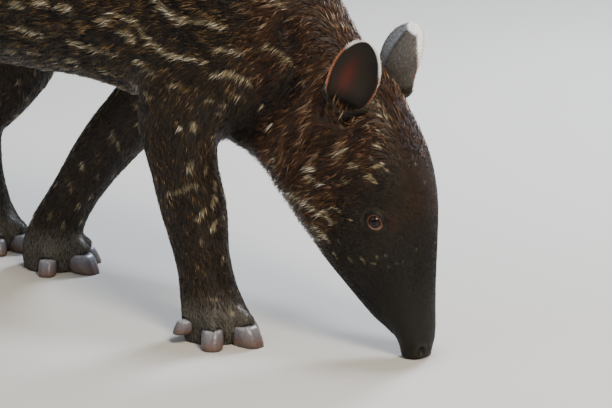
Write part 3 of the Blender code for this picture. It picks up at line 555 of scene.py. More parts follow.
def mesh_arrays(mesh):
    """A mesh's points and normals."""
    points = np.empty(len(mesh.vertices) * 3, np.float32)
    mesh.vertices.foreach_get("co", points)
    normals = np.empty(len(mesh.vertices) * 3, np.float32)
    mesh.vertex_normals.foreach_get("vector", normals)
    return points.reshape(-1, 3).astype(float), normals.reshape(-1, 3).astype(float)


def set_points(mesh, points):
    """Moves the mesh's points."""
    mesh.vertices.foreach_set("co", points.astype(np.float32).ravel())
    mesh.update()


def set_value(mesh, name, values):
    """A number on each point that the material reads."""
    attribute = mesh.attributes.get(name) or mesh.attributes.new(name, "FLOAT", "POINT")
    attribute.data.foreach_set("value", np.asarray(values, np.float32))


def mesh_from_arrays(name, points, corners):
    """A mesh from points and a table of triangles or quads."""
    mesh = bpy.data.meshes.new(name)
    mesh.vertices.add(len(points))
    mesh.vertices.foreach_set("co", np.asarray(points, np.float32).ravel())
    count, size = corners.shape
    mesh.loops.add(count * size)
    mesh.loops.foreach_set("vertex_index", corners.astype(np.int32).ravel())
    mesh.polygons.add(count)
    mesh.polygons.foreach_set("loop_start", np.arange(0, count * size, size, dtype=np.int32))
    mesh.update(calc_edges=True)
    mesh.shade_smooth()
    return mesh


@contextmanager
def editing(mesh):
    """The mesh as a bmesh that is written back afterwards."""
    bm = bmesh.new()
    bm.from_mesh(mesh)
    yield bm
    bm.to_mesh(mesh)
    bm.free()


def smooth_mesh(name, bm):
    """A new smooth shaded mesh out of a bmesh, which is freed."""
    mesh = bpy.data.meshes.new(name)
    bm.to_mesh(mesh)
    bm.free()
    mesh.shade_smooth()
    return mesh


def triangles_of(mesh):
    """The three corners of each of the mesh's triangles."""
    mesh.calc_loop_triangles()
    corners = np.empty(len(mesh.loop_triangles) * 3, np.int32)
    mesh.loop_triangles.foreach_get("vertices", corners)
    return corners.reshape(-1, 3)


def tree_of(mesh):
    """The mesh as a tree that rays are cast on."""
    points, _ = mesh_arrays(mesh)
    return BVHTree.FromPolygons([Vector(p) for p in points], triangles_of(mesh).tolist())


def add_piece(name, mesh, material, *nodes, slot=None):
    """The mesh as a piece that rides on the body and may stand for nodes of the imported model."""
    piece = bpy.data.objects.new(name, mesh)
    bpy.context.scene.collection.objects.link(piece)
    mesh.materials.clear()
    mesh.materials.append(material)
    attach(piece, "root")
    if nodes:
        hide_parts(*nodes)
    return piece


SWELL = 0.00035            # the flesh grows by this much over the thin cuts between its solids
EYE_SINK = 0.0012          # and the eyeballs shrink by this, so that the lids close over them


def joined_flesh():
    """All flesh solids and the eyeballs as one closed mesh."""
    bm = bmesh.new()
    for name in FLESH + ["eye_right", "eye_left"]:
        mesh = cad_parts[name].data.copy()
        with editing(mesh) as part:
            bmesh.ops.remove_doubles(part, verts=part.verts, dist=1e-6)
            part.normal_update()
            swell = -EYE_SINK if name.startswith("eye") else SWELL
            for v, shift in [(v, v.normal * swell) for v in part.verts]:
                v.co += shift
        bm.from_mesh(mesh)
        bpy.data.meshes.remove(mesh)
    obj = bpy.data.objects.new("flesh", smooth_mesh("flesh", bm))
    bpy.context.scene.collection.objects.link(obj)
    remesh = obj.modifiers.new("remesh", "REMESH")
    remesh.mode = "VOXEL"
    remesh.voxel_size = settings().skin_mesh
    graph = bpy.context.evaluated_depsgraph_get()
    mesh = bpy.data.meshes.new_from_object(obj.evaluated_get(graph))
    bpy.data.objects.remove(obj)
    keep_largest_island(mesh)
    return mesh


def keep_largest_island(mesh):
    """Deletes the inner walls that the remesh leaves."""
    with editing(mesh) as bm:
        bm.verts.ensure_lookup_table()
        label = [-1] * len(bm.verts)
        sizes = []
        for start in bm.verts:
            if label[start.index] >= 0:
                continue
            label[start.index] = len(sizes)
            stack = [start]
            size = 0
            while stack:
                v = stack.pop()
                size += 1
                for edge in v.link_edges:
                    other = edge.other_vert(v)
                    if label[other.index] < 0:
                        label[other.index] = len(sizes)
                        stack.append(other)
            sizes.append(size)
        keep = sizes.index(max(sizes))
        bmesh.ops.delete(bm, geom=[v for v in bm.verts if label[v.index] != keep], context="VERTS")


def relax(mesh, rounds_at):
    """Smooths the mesh: each point takes as many rounds as rounds_at says."""
    points, _ = mesh_arrays(mesh)
    edges = np.empty(len(mesh.edges) * 2, np.int32)
    mesh.edges.foreach_get("vertices", edges)
    edges = edges.reshape(-1, 2)
    ends = np.concatenate((edges[:, 0], edges[:, 1]))
    others = np.concatenate((edges[:, 1], edges[:, 0]))
    count = np.bincount(ends, minlength=len(points))
    rounds = rounds_at(points)
    for i in range(int(rounds.max())):
        weight = np.clip(rounds - i, 0, 1) * 0.5
        means = np.stack([np.bincount(ends, points[others, axis], len(points)) for axis in range(3)], 1)
        means /= np.maximum(count, 1)[:, None]
        points += (means - points) * weight[:, None]
    set_points(mesh, points)


def refine(mesh, wanted):
    """Parts each face in two both ways where wanted says so at its middle."""
    with editing(mesh) as bm:
        chosen = wanted(np.array([f.calc_center_median() for f in bm.faces]))
        edges = {e for f, take in zip(bm.faces, chosen) if take for e in f.edges}
        bmesh.ops.subdivide_edges(bm, edges=list(edges), cuts=1, use_grid_fill=True)
        bmesh.ops.triangulate(bm, faces=[f for f in bm.faces if len(f.verts) > 4])


def eye_parts(side):
    """Middle of an eyeball, its radius, the way it looks, and the two axes of its opening."""
    word = "left" if side > 0 else "right"
    low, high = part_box(f"eye_{word}")
    centre = (low + high) / 2
    look = Vector((0.335, 0.942 * side, 0.02)).normalized()
    run = Vector((0.35, 0, -0.94))
    along = (run - look * run.dot(look)).normalized()
    centre, look, along, over = (np.array(v) for v in (centre, look, along, look.cross(along)))
    return centre, (high.z - low.z) / 2, look, along, over


LID_HALF_LENGTH = 0.0061
LID_HALF_HEIGHT = 0.0057
FAR_OFF = 99.0             # stands for a distance that no point here has


def around_eyes(points):
    """How far each point is from the nearer eye, in sizes of its opening, and the way that eye looks."""
    nearest = np.full(len(points), FAR_OFF)
    outward = np.zeros_like(points)
    for side in EYES.values():
        centre, _, look, along, over = eye_parts(side)
        offset = points - centre
        size = np.sqrt((offset @ along / LID_HALF_LENGTH) ** 2 + (offset @ over / LID_HALF_HEIGHT) ** 2)
        size = np.where(offset @ look > 0, size, FAR_OFF)
        closer = size < nearest
        nearest = np.where(closer, size, nearest)
        outward = np.where(closer[:, None], look[None], outward)
    return nearest, outward


def mouth_points(tree):
    """The line of the mouth on each side of the skin."""
    found = []
    for side in (-1, 1):
        line = []
        for x, z in smooth_rows(MOUTH_LINE, 4):
            hit = tree.ray_cast(Vector((x + SHIFT, 0.12 * side, z)), Vector((0, -side, 0)))[0]
            if hit:
                line.append(hit)
        found.append(np.array(line))
    return found


def points_near(points, line, margin):
    """The numbers of the points that are inside a box round a line."""
    low = line.min(0) - margin
    high = line.max(0) + margin
    return np.nonzero(((points > low) & (points < high)).all(1))[0]


def beside_span(points, start, end):
    """How far along a straight span each point is, as a share, and how far from it."""
    run = end - start
    share = np.clip(((points - start) @ run) / max(run @ run, 1e-12), 0, 1)
    return share, np.linalg.norm(points - start - share[:, None] * run, axis=1)


def distance_to_lines(points, lines):
    """Shortest distance from each point to a set of broken lines."""
    best = np.full(len(points), 9.0)
    for line in lines:
        near = points_near(points, line, 0.02)
        for start, end in zip(line, line[1:]):
            best[near] = np.minimum(best[near], beside_span(points[near], start, end)[1])
    return best


def nostril_depth(points):
    """How far inside a nostril each point is: 1 in its middle, 0 at its edge, less outside."""
    best = np.full(len(points), -9.0)
    for side in (-1, 1):
        centre = np.array((NOSTRIL_PLACE.x + SHIFT, NOSTRIL_PLACE.y * side, NOSTRIL_PLACE.z))
        turn = np.array(Matrix.Rotation(side * math.radians(NOSTRIL_TURN), 3, "Z"))
        local = (points - centre) @ turn
        best = np.maximum(best, 1 - np.linalg.norm(local / np.array(NOSTRIL_RADII), axis=1))
    return best


def ear_axes(side):
    """Which way an ear points, which way its cup opens and the way across it."""
    up = EARS[side][0].normalized()
    opening = Vector((0.30, 0.95 * side, -0.10))
    opening = (opening - up * opening.dot(up)).normalized()
    return np.array(up), np.array(opening), np.array(up.cross(opening))


def ear_root(side):
    """Where an ear comes out of the head."""
    root = EARS[side][3]
    return np.array((root.x + SHIFT, root.y * side, root.z))


def ear_section(side, share):
    """Half the width of an ear at a share of its length, how far it leans out, its wrap and its curl."""
    _, half_width, widest, _ = EARS[side]
    low = 1 - 0.46 * np.clip(1 - share / widest, 0, 1) ** 1.8
    high = np.sqrt(np.clip(1 - (np.clip(share - widest, 0, None) / (1 - widest)) ** 2, 0.0004, 1))
    half = half_width * np.where(share < widest, low, high)
    lean = -0.009 * np.sin(math.pi * share) + 0.005 * (1 - share) ** 4
    lean = lean - 0.015 * np.clip(1 - share / 0.19, 0, None) ** 1.5
    wrap = np.radians(57 + 46 * (1 - share) + 76 * np.exp(-((share / 0.18) ** 2)))
    return half, lean, wrap, half / np.sin(np.minimum(wrap, math.pi / 2))


def around_ears(points):
    """The shift that clears the cups of the ears, what lies inside them, and what lies at their feet."""
    shift = np.zeros_like(points)
    inside = np.zeros(len(points), bool)
    foot = np.zeros(len(points))
    for side in EYES.values():
        up, opening, wide = ear_axes(side)
        offset = points - ear_root(side)
        share = offset @ up / EAR_LENGTH + EAR_BURIED
        across, out = offset @ wide, offset @ opening
        half, lean, wrap, curl = ear_section(side, np.clip(share, 0, 1))
        a = np.arcsin(np.clip(across / curl, -1, 1))
        back = lean + (curl * np.cos(wrap) - curl * np.cos(a)) * EAR_FLATNESS
        within = (share > 0.02) & (share < 1) & (np.abs(across) < half) & (out > back - 0.0042)
        tongue = (share < 0.17) & (out > lean - 0.004)
        cup = within & ~tongue & (out < lean + 0.010)
        clear = (share > 0.12) & (share < 1) & (np.abs(across) < half * 1.1) & (np.abs(out - lean) < 0.014)
        near = steps(1.5, 1.0, np.abs(across) / half) * steps(-0.20, -0.06, share) * steps(0.24, 0.12, share)
        near = near * (out > lean - 0.004) * (out < lean + 0.02)
        shift += (np.where(cup, back - 0.0036 - out, 0) + 0.0042 * near)[:, None] * opening
        inside |= cup | clear & (out > back - 0.0042)
        foot = np.maximum(foot, near)
    return shift, inside, foot


def toe_places():
    """For each toe: its leg, number, place on the ground, turn, size and height of its sole."""
    for leg, (side, rows) in LEGS.items():
        foot = Vector((rows[-1][0] + SHIFT, side * rows[-1][2], 0))
        for number, degrees, reach, size, height in FORE_TOES if leg.startswith("fore") else HIND_TOES:
            turn = Matrix.Rotation(side * math.radians(degrees + TURNED_OUT[leg]), 4, "Z")
            yield leg, number, foot + turn @ Vector((reach, 0, 0)), turn, size, height


def toe_cuffs(points):
    """The shift that brings the skin of each toe forward over the top of its hoof."""
    shift = np.zeros_like(points)
    for _, _, place, turn, size, height in toe_places():
        ahead = np.array(turn @ Vector((1, 0, 0)))[:3]
        aside = np.array(turn @ Vector((0, 1, 0)))[:3]
        offset = points - np.array(place)
        forward, beside = offset @ ahead, offset @ aside
        top = height + 1.36 * HOOF_RADII.z * size
        weight = np.exp(-((beside / (0.0115 * size)) ** 4)) * bell(offset[:, 2] - top, 0.0095)
        weight *= steps(-0.016, -0.004, forward) * steps(0.03, 0.02, forward)
        shift += (0.0030 * size * weight)[:, None] * ahead
    return shift


def crease_lines(ahead):
    """The crease of the neck on both sides, moved on along the neck by some millimetres."""
    lines = np.array(CREASE) + np.array((0.62, 0, -0.78)) * ahead
    return [lines * (MM, MM * side, MM) for side in (1, -1)]


CREASE_DEPTH = 0.0052
COLLAR_HEIGHT = 0.0030     # the roll of skin that the crease pushes up before it
COLLAR_AHEAD = 13          # millimetres
LIP_HEIGHT = 0.0007
MOUTH_DEPTH = 0.0016
SOCKET_DEPTH = 0.0075      # how far the skin goes back behind the lids
NOSTRIL_DEPTH = 0.0035
TRUNK_ROUNDS = 60          # rounds of smoothing on the trunk, on limbs, on the face and everywhere
LIMB_ROUNDS = 14
LEAST_ROUNDS = 4


def make_skin_mesh():
    """The whole skin: joined, smoothed, refined at the face and set in by the depth of the coat."""
    mesh = joined_flesh()

    def rounds_at(points):
        where = region_values(points)
        trunk = TRUNK_ROUNDS * (1 - where["limb"]) * (1 - where["face"])
        calm = 1 - 0.9 * around_ears(points)[2]
        limb = LIMB_ROUNDS * where["limb"] * (1 - where["foot"])
        return LEAST_ROUNDS + (trunk + limb) * calm + LEAST_ROUNDS * where["face"]

    relax(mesh, rounds_at)
    start = SHIFT + 0.090
    refine(mesh, lambda m: (m[:, 0] > start) & (m[:, 2] < 0.30) & (m[:, 0] + m[:, 2] * 0.3 > start + 0.06))
    mouth = mouth_points(tree_of(mesh))

    def near_detail(middles):
        close = distance_to_lines(middles, mouth) < 0.007
        return close | (around_eyes(middles)[0] < 3.0) | (nostril_depth(middles) > -1.3)

    refine(mesh, near_detail)
    relax(mesh, lambda points: np.where(points[:, 0] > start, 2, 0))
    points, normals = mesh_arrays(mesh)
    where = region_values(points)
    points -= normals * coat_depth_at(where)[:, None]
    crease = distance_to_lines(points, crease_lines(0))
    collar = distance_to_lines(points, crease_lines(COLLAR_AHEAD))
    fold = COLLAR_HEIGHT * bell(collar, 0.009) - CREASE_DEPTH * bell(crease, 0.0105)
    points += normals * fold[:, None]
    points += toe_cuffs(points)
    points += around_ears(points)[0]
    far = distance_to_lines(points, mouth)
    lips = LIP_HEIGHT * bell(far - 0.0030, 0.0016) - MOUTH_DEPTH * bell(far, 0.0009)
    points += normals * lips[:, None]
    size, outward = around_eyes(points)
    points -= outward * (SOCKET_DEPTH * steps(1.95, 1.40, size))[:, None]
    hole = nostril_depth(points)
    points -= normals * (NOSTRIL_DEPTH * steps(-0.25, 0.5, hole) - 0.0002 * bell(hole + 0.45, 0.3))[:, None]
    set_points(mesh, points)
    return mesh


def flank_streaks(tree):
    """Broken stripes and spots where the photographed side doesn't show them, row by row."""
    source = np.random.default_rng(41)
    made = []
    for side in (-1, 1):
        for height, length, gap, width in FLANK_ROWS:
            run = source.uniform(0.005, 0.03)
            while True:
                size = length * source.uniform(0.6, 1.35) * MM
                ends = [run, run + size / 2, run + size]
                places = np.interp(ends, TRUNK_RUN, np.arange(len(TRUNK)))
                if places[-1] / RIB_STEPS > LAST_RIB[side]:
                    break
                sway = source.normal(0, 0.012)
                line = []
                for place in places:
                    row = TRUNK[int(place)]
                    share = 1 - height + sway + source.normal(0, 0.006)
                    x = row[0] + (row[2] - row[0]) * share
                    z = row[1] + (row[3] - row[1]) * share
                    hit = tree.ray_cast(Vector((x, 0.2 * side, z)), Vector((0, -side, 0)))[0]
                    if hit:
                        line.append(hit)
                if len(line) == 3:
                    wide = width * source.uniform(0.8, 1.2) * MM
                    made.append((np.array(line), wide, source.uniform(0.8, 1)))
                run += size + gap * source.uniform(0.6, 1.5) * MM
    return made


def limb_streaks(tree):
    """Spots down the limbs that the photograph doesn't show."""
    source = np.random.default_rng(17)
    made = []
    for name in ("foreleg_left", "hindleg_left", "hindleg_right"):
        middle, radii = LIMBS[name]
        for turn in range(0, 360, 45):
            height = 0.30 - source.uniform(0, 0.03)
            while height > 0.055:
                near = int(np.abs(middle[:, 2] - height).argmin())
                a = math.radians(turn + source.normal(0, 9))
                out = Vector((math.cos(a), math.sin(a), 0))
                top = tree.ray_cast(Vector(middle[near]) + out * 0.12, -out)[0]
                size = source.uniform(5, 13) * MM
                if top is not None and (top - Vector(middle[near])).length < 1.9 * radii[near]:
                    line = np.array([top, tree.find_nearest(top - Vector((0, 0, size)))[0]])
                    made.append((line, source.uniform(3.5, 6) * MM, source.uniform(0.5, 0.9)))
                height -= size + source.uniform(16, 30) * MM
    return made


def all_streaks(mesh):
    """Every marking as points on the skin, a width and a strength."""
    tree = tree_of(mesh)
    source = np.random.default_rng(23)
    made = []
    for line, width, strength in STREAKS:
        for side in (-1, 1):
            places = np.array(line, float) * MM
            if side > 0:
                places = places * (1, -1, 1) + source.normal(0, 0.004, 3) * (1, 0, 1)
                if np.abs(places[:, 1]).max() < 0.012:
                    continue
            snapped = np.array([tree.find_nearest(Vector(p))[0] for p in places])
            made.append((snapped, width * MM, strength))
    return made + flank_streaks(tree) + limb_streaks(tree)


SKIN_REGIONS = ("snout", "foot", "belly", "warm", "face", "low_face", "tip")
TINT_STOPS = (0, 0.42, 0.75, 1)


def cream_at(points, streaks, ragged):
    """How much pale hair grows at each point."""
    cream = np.zeros(len(points))
    rough = waves(points, 0.0035, 5) * ragged + waves(points, 0.011, 6) * 0.18
    for line, width, strength in streaks:
        near = points_near(points, line, width + 0.003)
        if not len(near):
            continue
        total = np.linalg.norm(np.diff(line, axis=0), axis=1).sum()
        gone = 0.0
        best = np.full(len(near), 9.0)
        for start, end in zip(line, line[1:]):
            length = np.linalg.norm(end - start)
            share, far = beside_span(points[near], start, end)
            reach = (gone + share * length) / max(total, 1e-9)
            taper = 0.62 + 0.38 * np.sqrt(np.clip(4 * reach * (1 - reach), 0, 1))
            best = np.minimum(best, far / (taper * width / 2))
            gone += length
        value = steps(1.25, 0.72, best + rough[near] * 0.6) * strength
        cream[near] = np.maximum(cream[near], value)
    return cream * steps(2.4, 3.4, around_eyes(points)[0])


def skin_material():
    """Hide under short hair: near black brown drawn out in fine strands, slate grey on snout and feet, with
    painted shade in the neck's crease and inside the nostrils.
    """
    s = settings()
    made, tree, shader = new_material("short_haired_hide", 0.46)
    fac = {name: add_node(tree, "ShaderNodeAttribute", attribute_name=name).outputs["Fac"]
           for name in ("cream", "run", "around", "crease", "hole", *SKIN_REGIONS)}
    place = add_node(tree, "ShaderNodeTexCoord").outputs["Object"]
    # strands of hair about 9 mm long and 0.8 mm across, blotches, and the grain of the bare skin
    flat = add_node(tree, "ShaderNodeCombineXYZ", {"X": fac["run"], "Y": fac["around"]})
    fine = (per_metre(9.091), per_metre(0.8), 1.0)
    strands = add_node(tree, "ShaderNodeVectorMath", {0: flat.outputs[0], 1: fine}, operation="MULTIPLY")
    hair = add_node(tree, "ShaderNodeTexNoise", {"Vector": strands.outputs[0], "Scale": 1.0, "Detail": 3.0})
    blotch = add_node(tree, "ShaderNodeTexNoise", {"Vector": place, "Scale": per_metre(6.25), "Detail": 4.0})
    grain = add_node(tree, "ShaderNodeTexNoise", {"Vector": place, "Scale": per_metre(2 / 3), "Detail": 3.0})
    # each coat over the one before: where it lies, the pattern that mixes it, its darkest and palest colour
    base = linear("#000000")
    for share, pattern, low, high in (
        (1.0, hair, "#0d0806", s.dark_hair),
        (fac["face"], hair, "#0e0b05", "#2c2515"),
        # the warm layer also covers the top of the brow, where it is partly a painted sheen
        (fac["warm"], hair, "#120904", "#3f2a18"),
        (fac["low_face"], hair, "#0b0905", "#1e1a10"),
        (fac["snout"], blotch, "#100f0b", "#201e18"),
        (fac["tip"], hair, "#231913", "#231913"),
        (fac["foot"], hair, "#2b2924", "#6f6b62"),
        (fac["belly"], hair, "#3a2c22", "#3a2c22"),
        (fac["cream"], hair, "#2b2115", "#bfb08c"),
        # painted shade: the neck's crease and the shoulder just behind it go near black, as the shade in the
        # fold
        (fac["crease"], hair, "#0a0604", "#0a0604"),
        # painted shade: the nostrils are filled near black, as the shade inside the opening
        (fac["hole"], hair, "#070504", "#070504"),
    ):
        tones = {0: pattern.outputs["Fac"], 6: linear(low), 7: linear(high)}
        colour = add_node(tree, "ShaderNodeMix", tones, data_type="RGBA").outputs[2]
        base = add_node(tree, "ShaderNodeMix", {0: share, 6: base, 7: colour}, data_type="RGBA").outputs[2]
    tree.links.new(base, shader.inputs["Base Color"])
    shader.inputs["Specular IOR Level"].default_value = 0.28
    height = add_node(tree, "ShaderNodeMath", {0: hair.outputs["Fac"], 1: grain.outputs["Fac"]},
                      operation="ADD")
    bump = add_node(tree, "ShaderNodeBump", {"Height": height.outputs[0], "Strength": 0.42,
                    "Distance": 0.0005})
    tree.links.new(bump.outputs[0], shader.inputs["Normal"])
    return made


def coat_material():
    """Guard hair: dark red brown, smooth and waxy, so single tufts glint; cream hair is duller."""
    s = settings()
    made, tree, shader = new_material("guard_hair", 0.24)
    fac = {name: add_node(tree, "ShaderNodeAttribute", attribute_name=name).outputs["Fac"]
           for name in ("tint", "cream", "pale", "warm")}
    # hairs of the trunk, of the redder neck and brow (on the brow partly a painted sheen), pale tipped hairs
    # of the feet, and the cream of the marks
    base = None
    for name, codes in (
        ("dark", ("#060403", s.dark_hair, s.brown_hair, "#8a6f4c")),
        ("warm", ("#090402", "#3b220f", "#6d4a2e", "#a48a6e")),
        ("pale", ("#25221d", "#55514a", "#88847a", "#bab5aa")),
        ("cream", ("#7a6847", "#c2b189", s.cream_hair, "#fbf5e4")),
    ):
        ramp = add_node(tree, "ShaderNodeValToRGB", {"Fac": fac["tint"]}, tuple(zip(TINT_STOPS, codes)))
        colour = ramp.outputs["Color"]
        if base:
            colour = add_node(tree, "ShaderNodeMix", {0: fac[name], 6: base, 7: colour},
                              data_type="RGBA").outputs[2]
        base = colour
    tree.links.new(base, shader.inputs["Base Color"])
    return made


class CALF_OT_skin(bpy.types.Operator):
    """Makes the one skin that stands for all the flesh solids"""

    bl_idname = "calf.skin"
    bl_label = "Skin"

    def execute(self, context):
        mesh = make_skin_mesh()
        mesh.shade_smooth()
        streaks = all_streaks(mesh)
        points, _ = mesh_arrays(mesh)
        where = region_values(points)
        set_value(mesh, "cream", 0.6 * cream_at(points, streaks, 0.4) * (1 - 0.5 * where["low_face"]))
        run, around, _ = strand_places(points)
        set_value(mesh, "run", run)
        set_value(mesh, "around", around)
        for name in SKIN_REGIONS:
            set_value(mesh, name, where[name])
        # painted shade: how near each point is to the neck's crease, where the fold's shade is painted
        set_value(mesh, "crease", bell(distance_to_lines(points, crease_lines(-2)), 0.012))
        # painted shade: how far inside a nostril each point is, for the dark painted there
        set_value(mesh, "hole", steps(-0.15, 0.2, nostril_depth(points)))
        piece = add_piece("skin", mesh, skin_material(), *FLESH, slot="coat")
        piece["streaks"] = json.dumps([[line.tolist(), w, st] for line, w, st in streaks])
        return {"FINISHED"}


# A tuft is a blade of five points: its root, a ring of three where it is widest, and its tip
TUFT = np.array([(0, 2, 1), (0, 3, 2), (0, 1, 3), (1, 2, 4), (2, 3, 4), (3, 1, 4)])
WIDEST = 0.44
TUFT_SHARES = np.array([0, WIDEST, WIDEST, WIDEST, 1.0])
ABOVE_FLOOR = 0.0003       # no hair comes lower than this
ROOT_DEPTH = 0.0005        # how far a tuft's root is sunk in the skin
SHEET_EDGE = 0.01          # margin of the unwrap, and the part of it that the places fill
SHEET_FILL = 0.975


def tufts(roots, normals, lies, lengths, widths, lifts, source):
    """Closed pointed blades: points for each, on the way the hair lies, bent down to the skin."""
    count = len(roots)
    roll = source.normal(0, 0.5, count)[:, None]
    across = np.cross(normals, lies)
    flat = across * np.cos(roll) + normals * np.sin(roll)
    rise = normals * np.cos(roll) - across * np.sin(roll)
    bow = (source.normal(0, 0.06, count) * lengths)[:, None]
    rings = []
    for share in (0.0, WIDEST, 1.0):
        lift = (lifts * (1 - (1 - share) ** 2) - ROOT_DEPTH * (1 - share))[:, None]
        middle = roots + lies * (lengths * share)[:, None] + normals * lift
        middle = middle + across * bow * (4 * share * (1 - share))
        if share == WIDEST:
            half = (widths / 2)[:, None]
            back = middle + rise * half * 0.9
            rings.append(np.stack((middle - flat * half, back, middle + flat * half), 1))
        else:
            rings.append(middle[:, None])
    return np.concatenate(rings, 1)


def on_sheet(share):
    """A place on the unwrap for a share from 0 to 1."""
    return SHEET_EDGE + SHEET_FILL * share


def tuft_piece(name, block, values, u, v, material, slot):
    """A piece made of tufts, with a small patch of the unwrap for each at its root's place."""
    count, size = block.shape[:2]
    block[:, :, 2] = np.maximum(block[:, :, 2], ABOVE_FLOOR)
    corners = (TUFT[None] + np.arange(count)[:, None, None] * size).reshape(-1, 3)
    mesh = mesh_from_arrays(name, block.reshape(-1, 3), corners)
    for key, numbers in values.items():
        set_value(mesh, key, np.repeat(numbers, size))
    patch = np.stack((TUFT_SHARES * 0.003, 0.0015 + 0.0015 * np.sin(np.arange(size) * 2.1)), 1)
    place = np.stack((u, v), 1)[:, None] + patch[None]
    layer = mesh.uv_layers.new(name="OFBake")
    layer.uv.foreach_set("vector", place.reshape(-1, 2)[corners.ravel()].astype(np.float32).ravel())
    return add_piece(name, mesh, material, slot=slot)


def grown_triangles(points, corners, density, source):
    """The triangles that hair grows on, each as often as its area and its corners' density say."""
    a, b, c = (points[corners[:, k]] for k in range(3))
    area = np.linalg.norm(np.cross(b - a, c - a), axis=1) / 2
    wanted = area * density[corners].mean(1)
    number = np.floor(wanted + source.random(len(wanted))).astype(int)
    return corners[np.repeat(np.arange(len(corners)), number)]


def sample_skin(mesh, density_at, source):
    """Random places on the skin, more of them where density_at says so."""
    points, normals = mesh_arrays(mesh)
    chosen = grown_triangles(points, triangles_of(mesh), density_at(points), source)
    u = source.random(len(chosen))
    v = source.random(len(chosen))
    over = u + v > 1
    u[over] = 1 - u[over]
    v[over] = 1 - v[over]
    weights = (1 - u - v, u, v)
    place = sum(points[chosen[:, k]] * w[:, None] for k, w in enumerate(weights))
    normal = sum(normals[chosen[:, k]] * w[:, None] for k, w in enumerate(weights))
    return place, unit(normal)


ZONES = ["rump", "flank", "barrel", "shoulder", "neck", "cheek", "face", "snout"]
ZONE_ENDS = [0, 2.6, 4.4, 6.4, 8.4, 10.6, 12.6, 14.6, 19.01]      # in ribs


def zone_places(points):
    """The piece of the coat that each point belongs to, and its place on that zone's unwrap."""
    rib, down = place_on_trunk(points)
    along = rib / RIB_STEPS
    zone = np.clip(np.searchsorted(ZONE_ENDS, along, side="right") - 1, 0, len(ZONES) - 1)
    ends = np.array(ZONE_ENDS)
    u = (along - ends[zone]) / (ends[zone + 1] - ends[zone])
    v = np.arccos(np.clip(1 - 2 * down, -1, 1)) / math.pi
    left = points[:, 1] > 0
    names = np.array([f"coat_{z}_{w}" for z in ZONES for w in ("right", "left")])
    label = names[zone * 2 + left]
    u = on_sheet(u)
    v = on_sheet(v)
    for name, (middle, _) in LIMBS.items():
        near, member, _, turn = around_limb(points, name)
        label = np.where(member, f"coat_{name}", label)
        u = np.where(member, on_sheet(near / (len(middle) - 1)), u)
        v = np.where(member, on_sheet(turn / (2 * math.pi) + 0.5), v)
    return label, u, v


def tuft_sizes(points):
    """Length, width and lift of a tuft at each point."""
    s = settings()
    where = region_values(points)
    length = s.trunk_hair + (s.neck_hair - s.trunk_hair) * where["neck"]
    length = length + (s.face_hair - length) * where["face"]
    length = length + (s.leg_hair - length) * np.maximum(where["shin"], 0.35 * where["limb"])
    length = length * (1 - 0.42 * where["foot"]) * (1 - 0.45 * where["snout"])
    width = length * (0.061 + 0.060 * where["face"] + 0.035 * where["shin"] - 0.011 * where["neck"])
    lift = coat_depth_at(where) * (0.95 + 0.5 * where["fringe"])
    return where, length, width, lift


TUFT_AREA = 0.72           # the part of its length times its width that a tuft covers
LOCK = 0.0040              # how wide the locks are that hairs stick together in, on body and face
FACE_LOCK = 0.0022
HAIR_GROUP = 0.0015
LOCK_SEED = 61


def lay_tufts(roots, normals, where, source):
    """The way each tuft lies, how high it stands in its lock, how loose it is, and the strands it is on."""
    run, around, way = strand_places(roots)
    tilt = np.arctan(droop_of_coat(where["along"], where["down"])) * (1 - where["limb"])
    wide = 0.0003 * np.sin(tilt)
    high = 0.0003 * np.cos(tilt)
    ridge = np.where(where["face"] > 0.5, clumps(run, around, tilt, FACE_LOCK, 71),
                     clumps(run, around, tilt, LOCK, LOCK_SEED))
    slope = way * (clumps(run + wide, around + high, tilt, LOCK, LOCK_SEED)
                   - clumps(run - wide, around - high, tilt, LOCK, LOCK_SEED))
    loose = (1 - 0.75 * where["face"]) * (1 - 0.5 * where["shin"])
    foot = around_ears(roots)[2][:, None]
    ways = np.array([ear_axes(side)[0] for side in (-1, 1)])[(roots[:, 1] > 0).astype(int)]
    rising = unit(laid_flat(ways, normals))
    lies = unit(lie_of_coat(roots, normals) * (1 - foot) + rising * foot * 1.2)
    angle = (waves(roots, 0.034, 11) * 0.16 + waves(roots, 0.011, 12) * 0.16) * loose
    angle += source.normal(0, 0.07, len(roots)) + np.clip(slope * 0.55, -0.42, 0.42) * loose
    lies = lies * np.cos(angle)[:, None] + np.cross(normals, lies) * np.sin(angle)[:, None]
    return lies, ridge, loose, foot[:, 0], (run, around, tilt)


def colour_tufts(roots, cream, where, ridge, loose, foot, strands, source):
    """The numbers that colour each tuft: how cream, how light (with painted shade in the gaps between locks
    and in the neck's crease), how pale and how warm it is.
    """
    count = len(roots)
    comb = 0.95 + 0.35 * clumps(*strands, HAIR_GROUP, 81) - 0.35 * where["low_face"]
    cream = (source.random(count) < cream * comb * 1.1) * np.clip(cream * 1.4, 0, 1)
    # painted shade: tufts low in their lock are darker and those high on it lighter, as shade in the gaps
    # between locks
    tint = 0.43 + 0.31 * ridge * (0.30 + 0.70 * loose) + waves(roots, 0.030, 31) * 0.07
    # painted shade: tufts in and just behind the neck's crease are darkened, as the shade in the fold
    tint -= 0.55 * bell(distance_to_lines(roots, crease_lines(-6)), 0.013)
    tint += 0.05 * where["warm"] - 0.24 * foot - 0.20 * where["face"]
    tint -= 0.12 * where["low_face"] + 0.09 * where["limb"]
    tint = np.clip(tint + source.normal(0, 0.11, count), 0, 1)
    pale = np.clip(0.4 * where["belly"] + 0.35 * where["foot"] + 0.10 * where["shin"], 0, 1)
    pale = pale * (source.random(count) < 0.75)
    return {"cream": cream, "tint": tint, "pale": pale, "warm": where["warm"]}


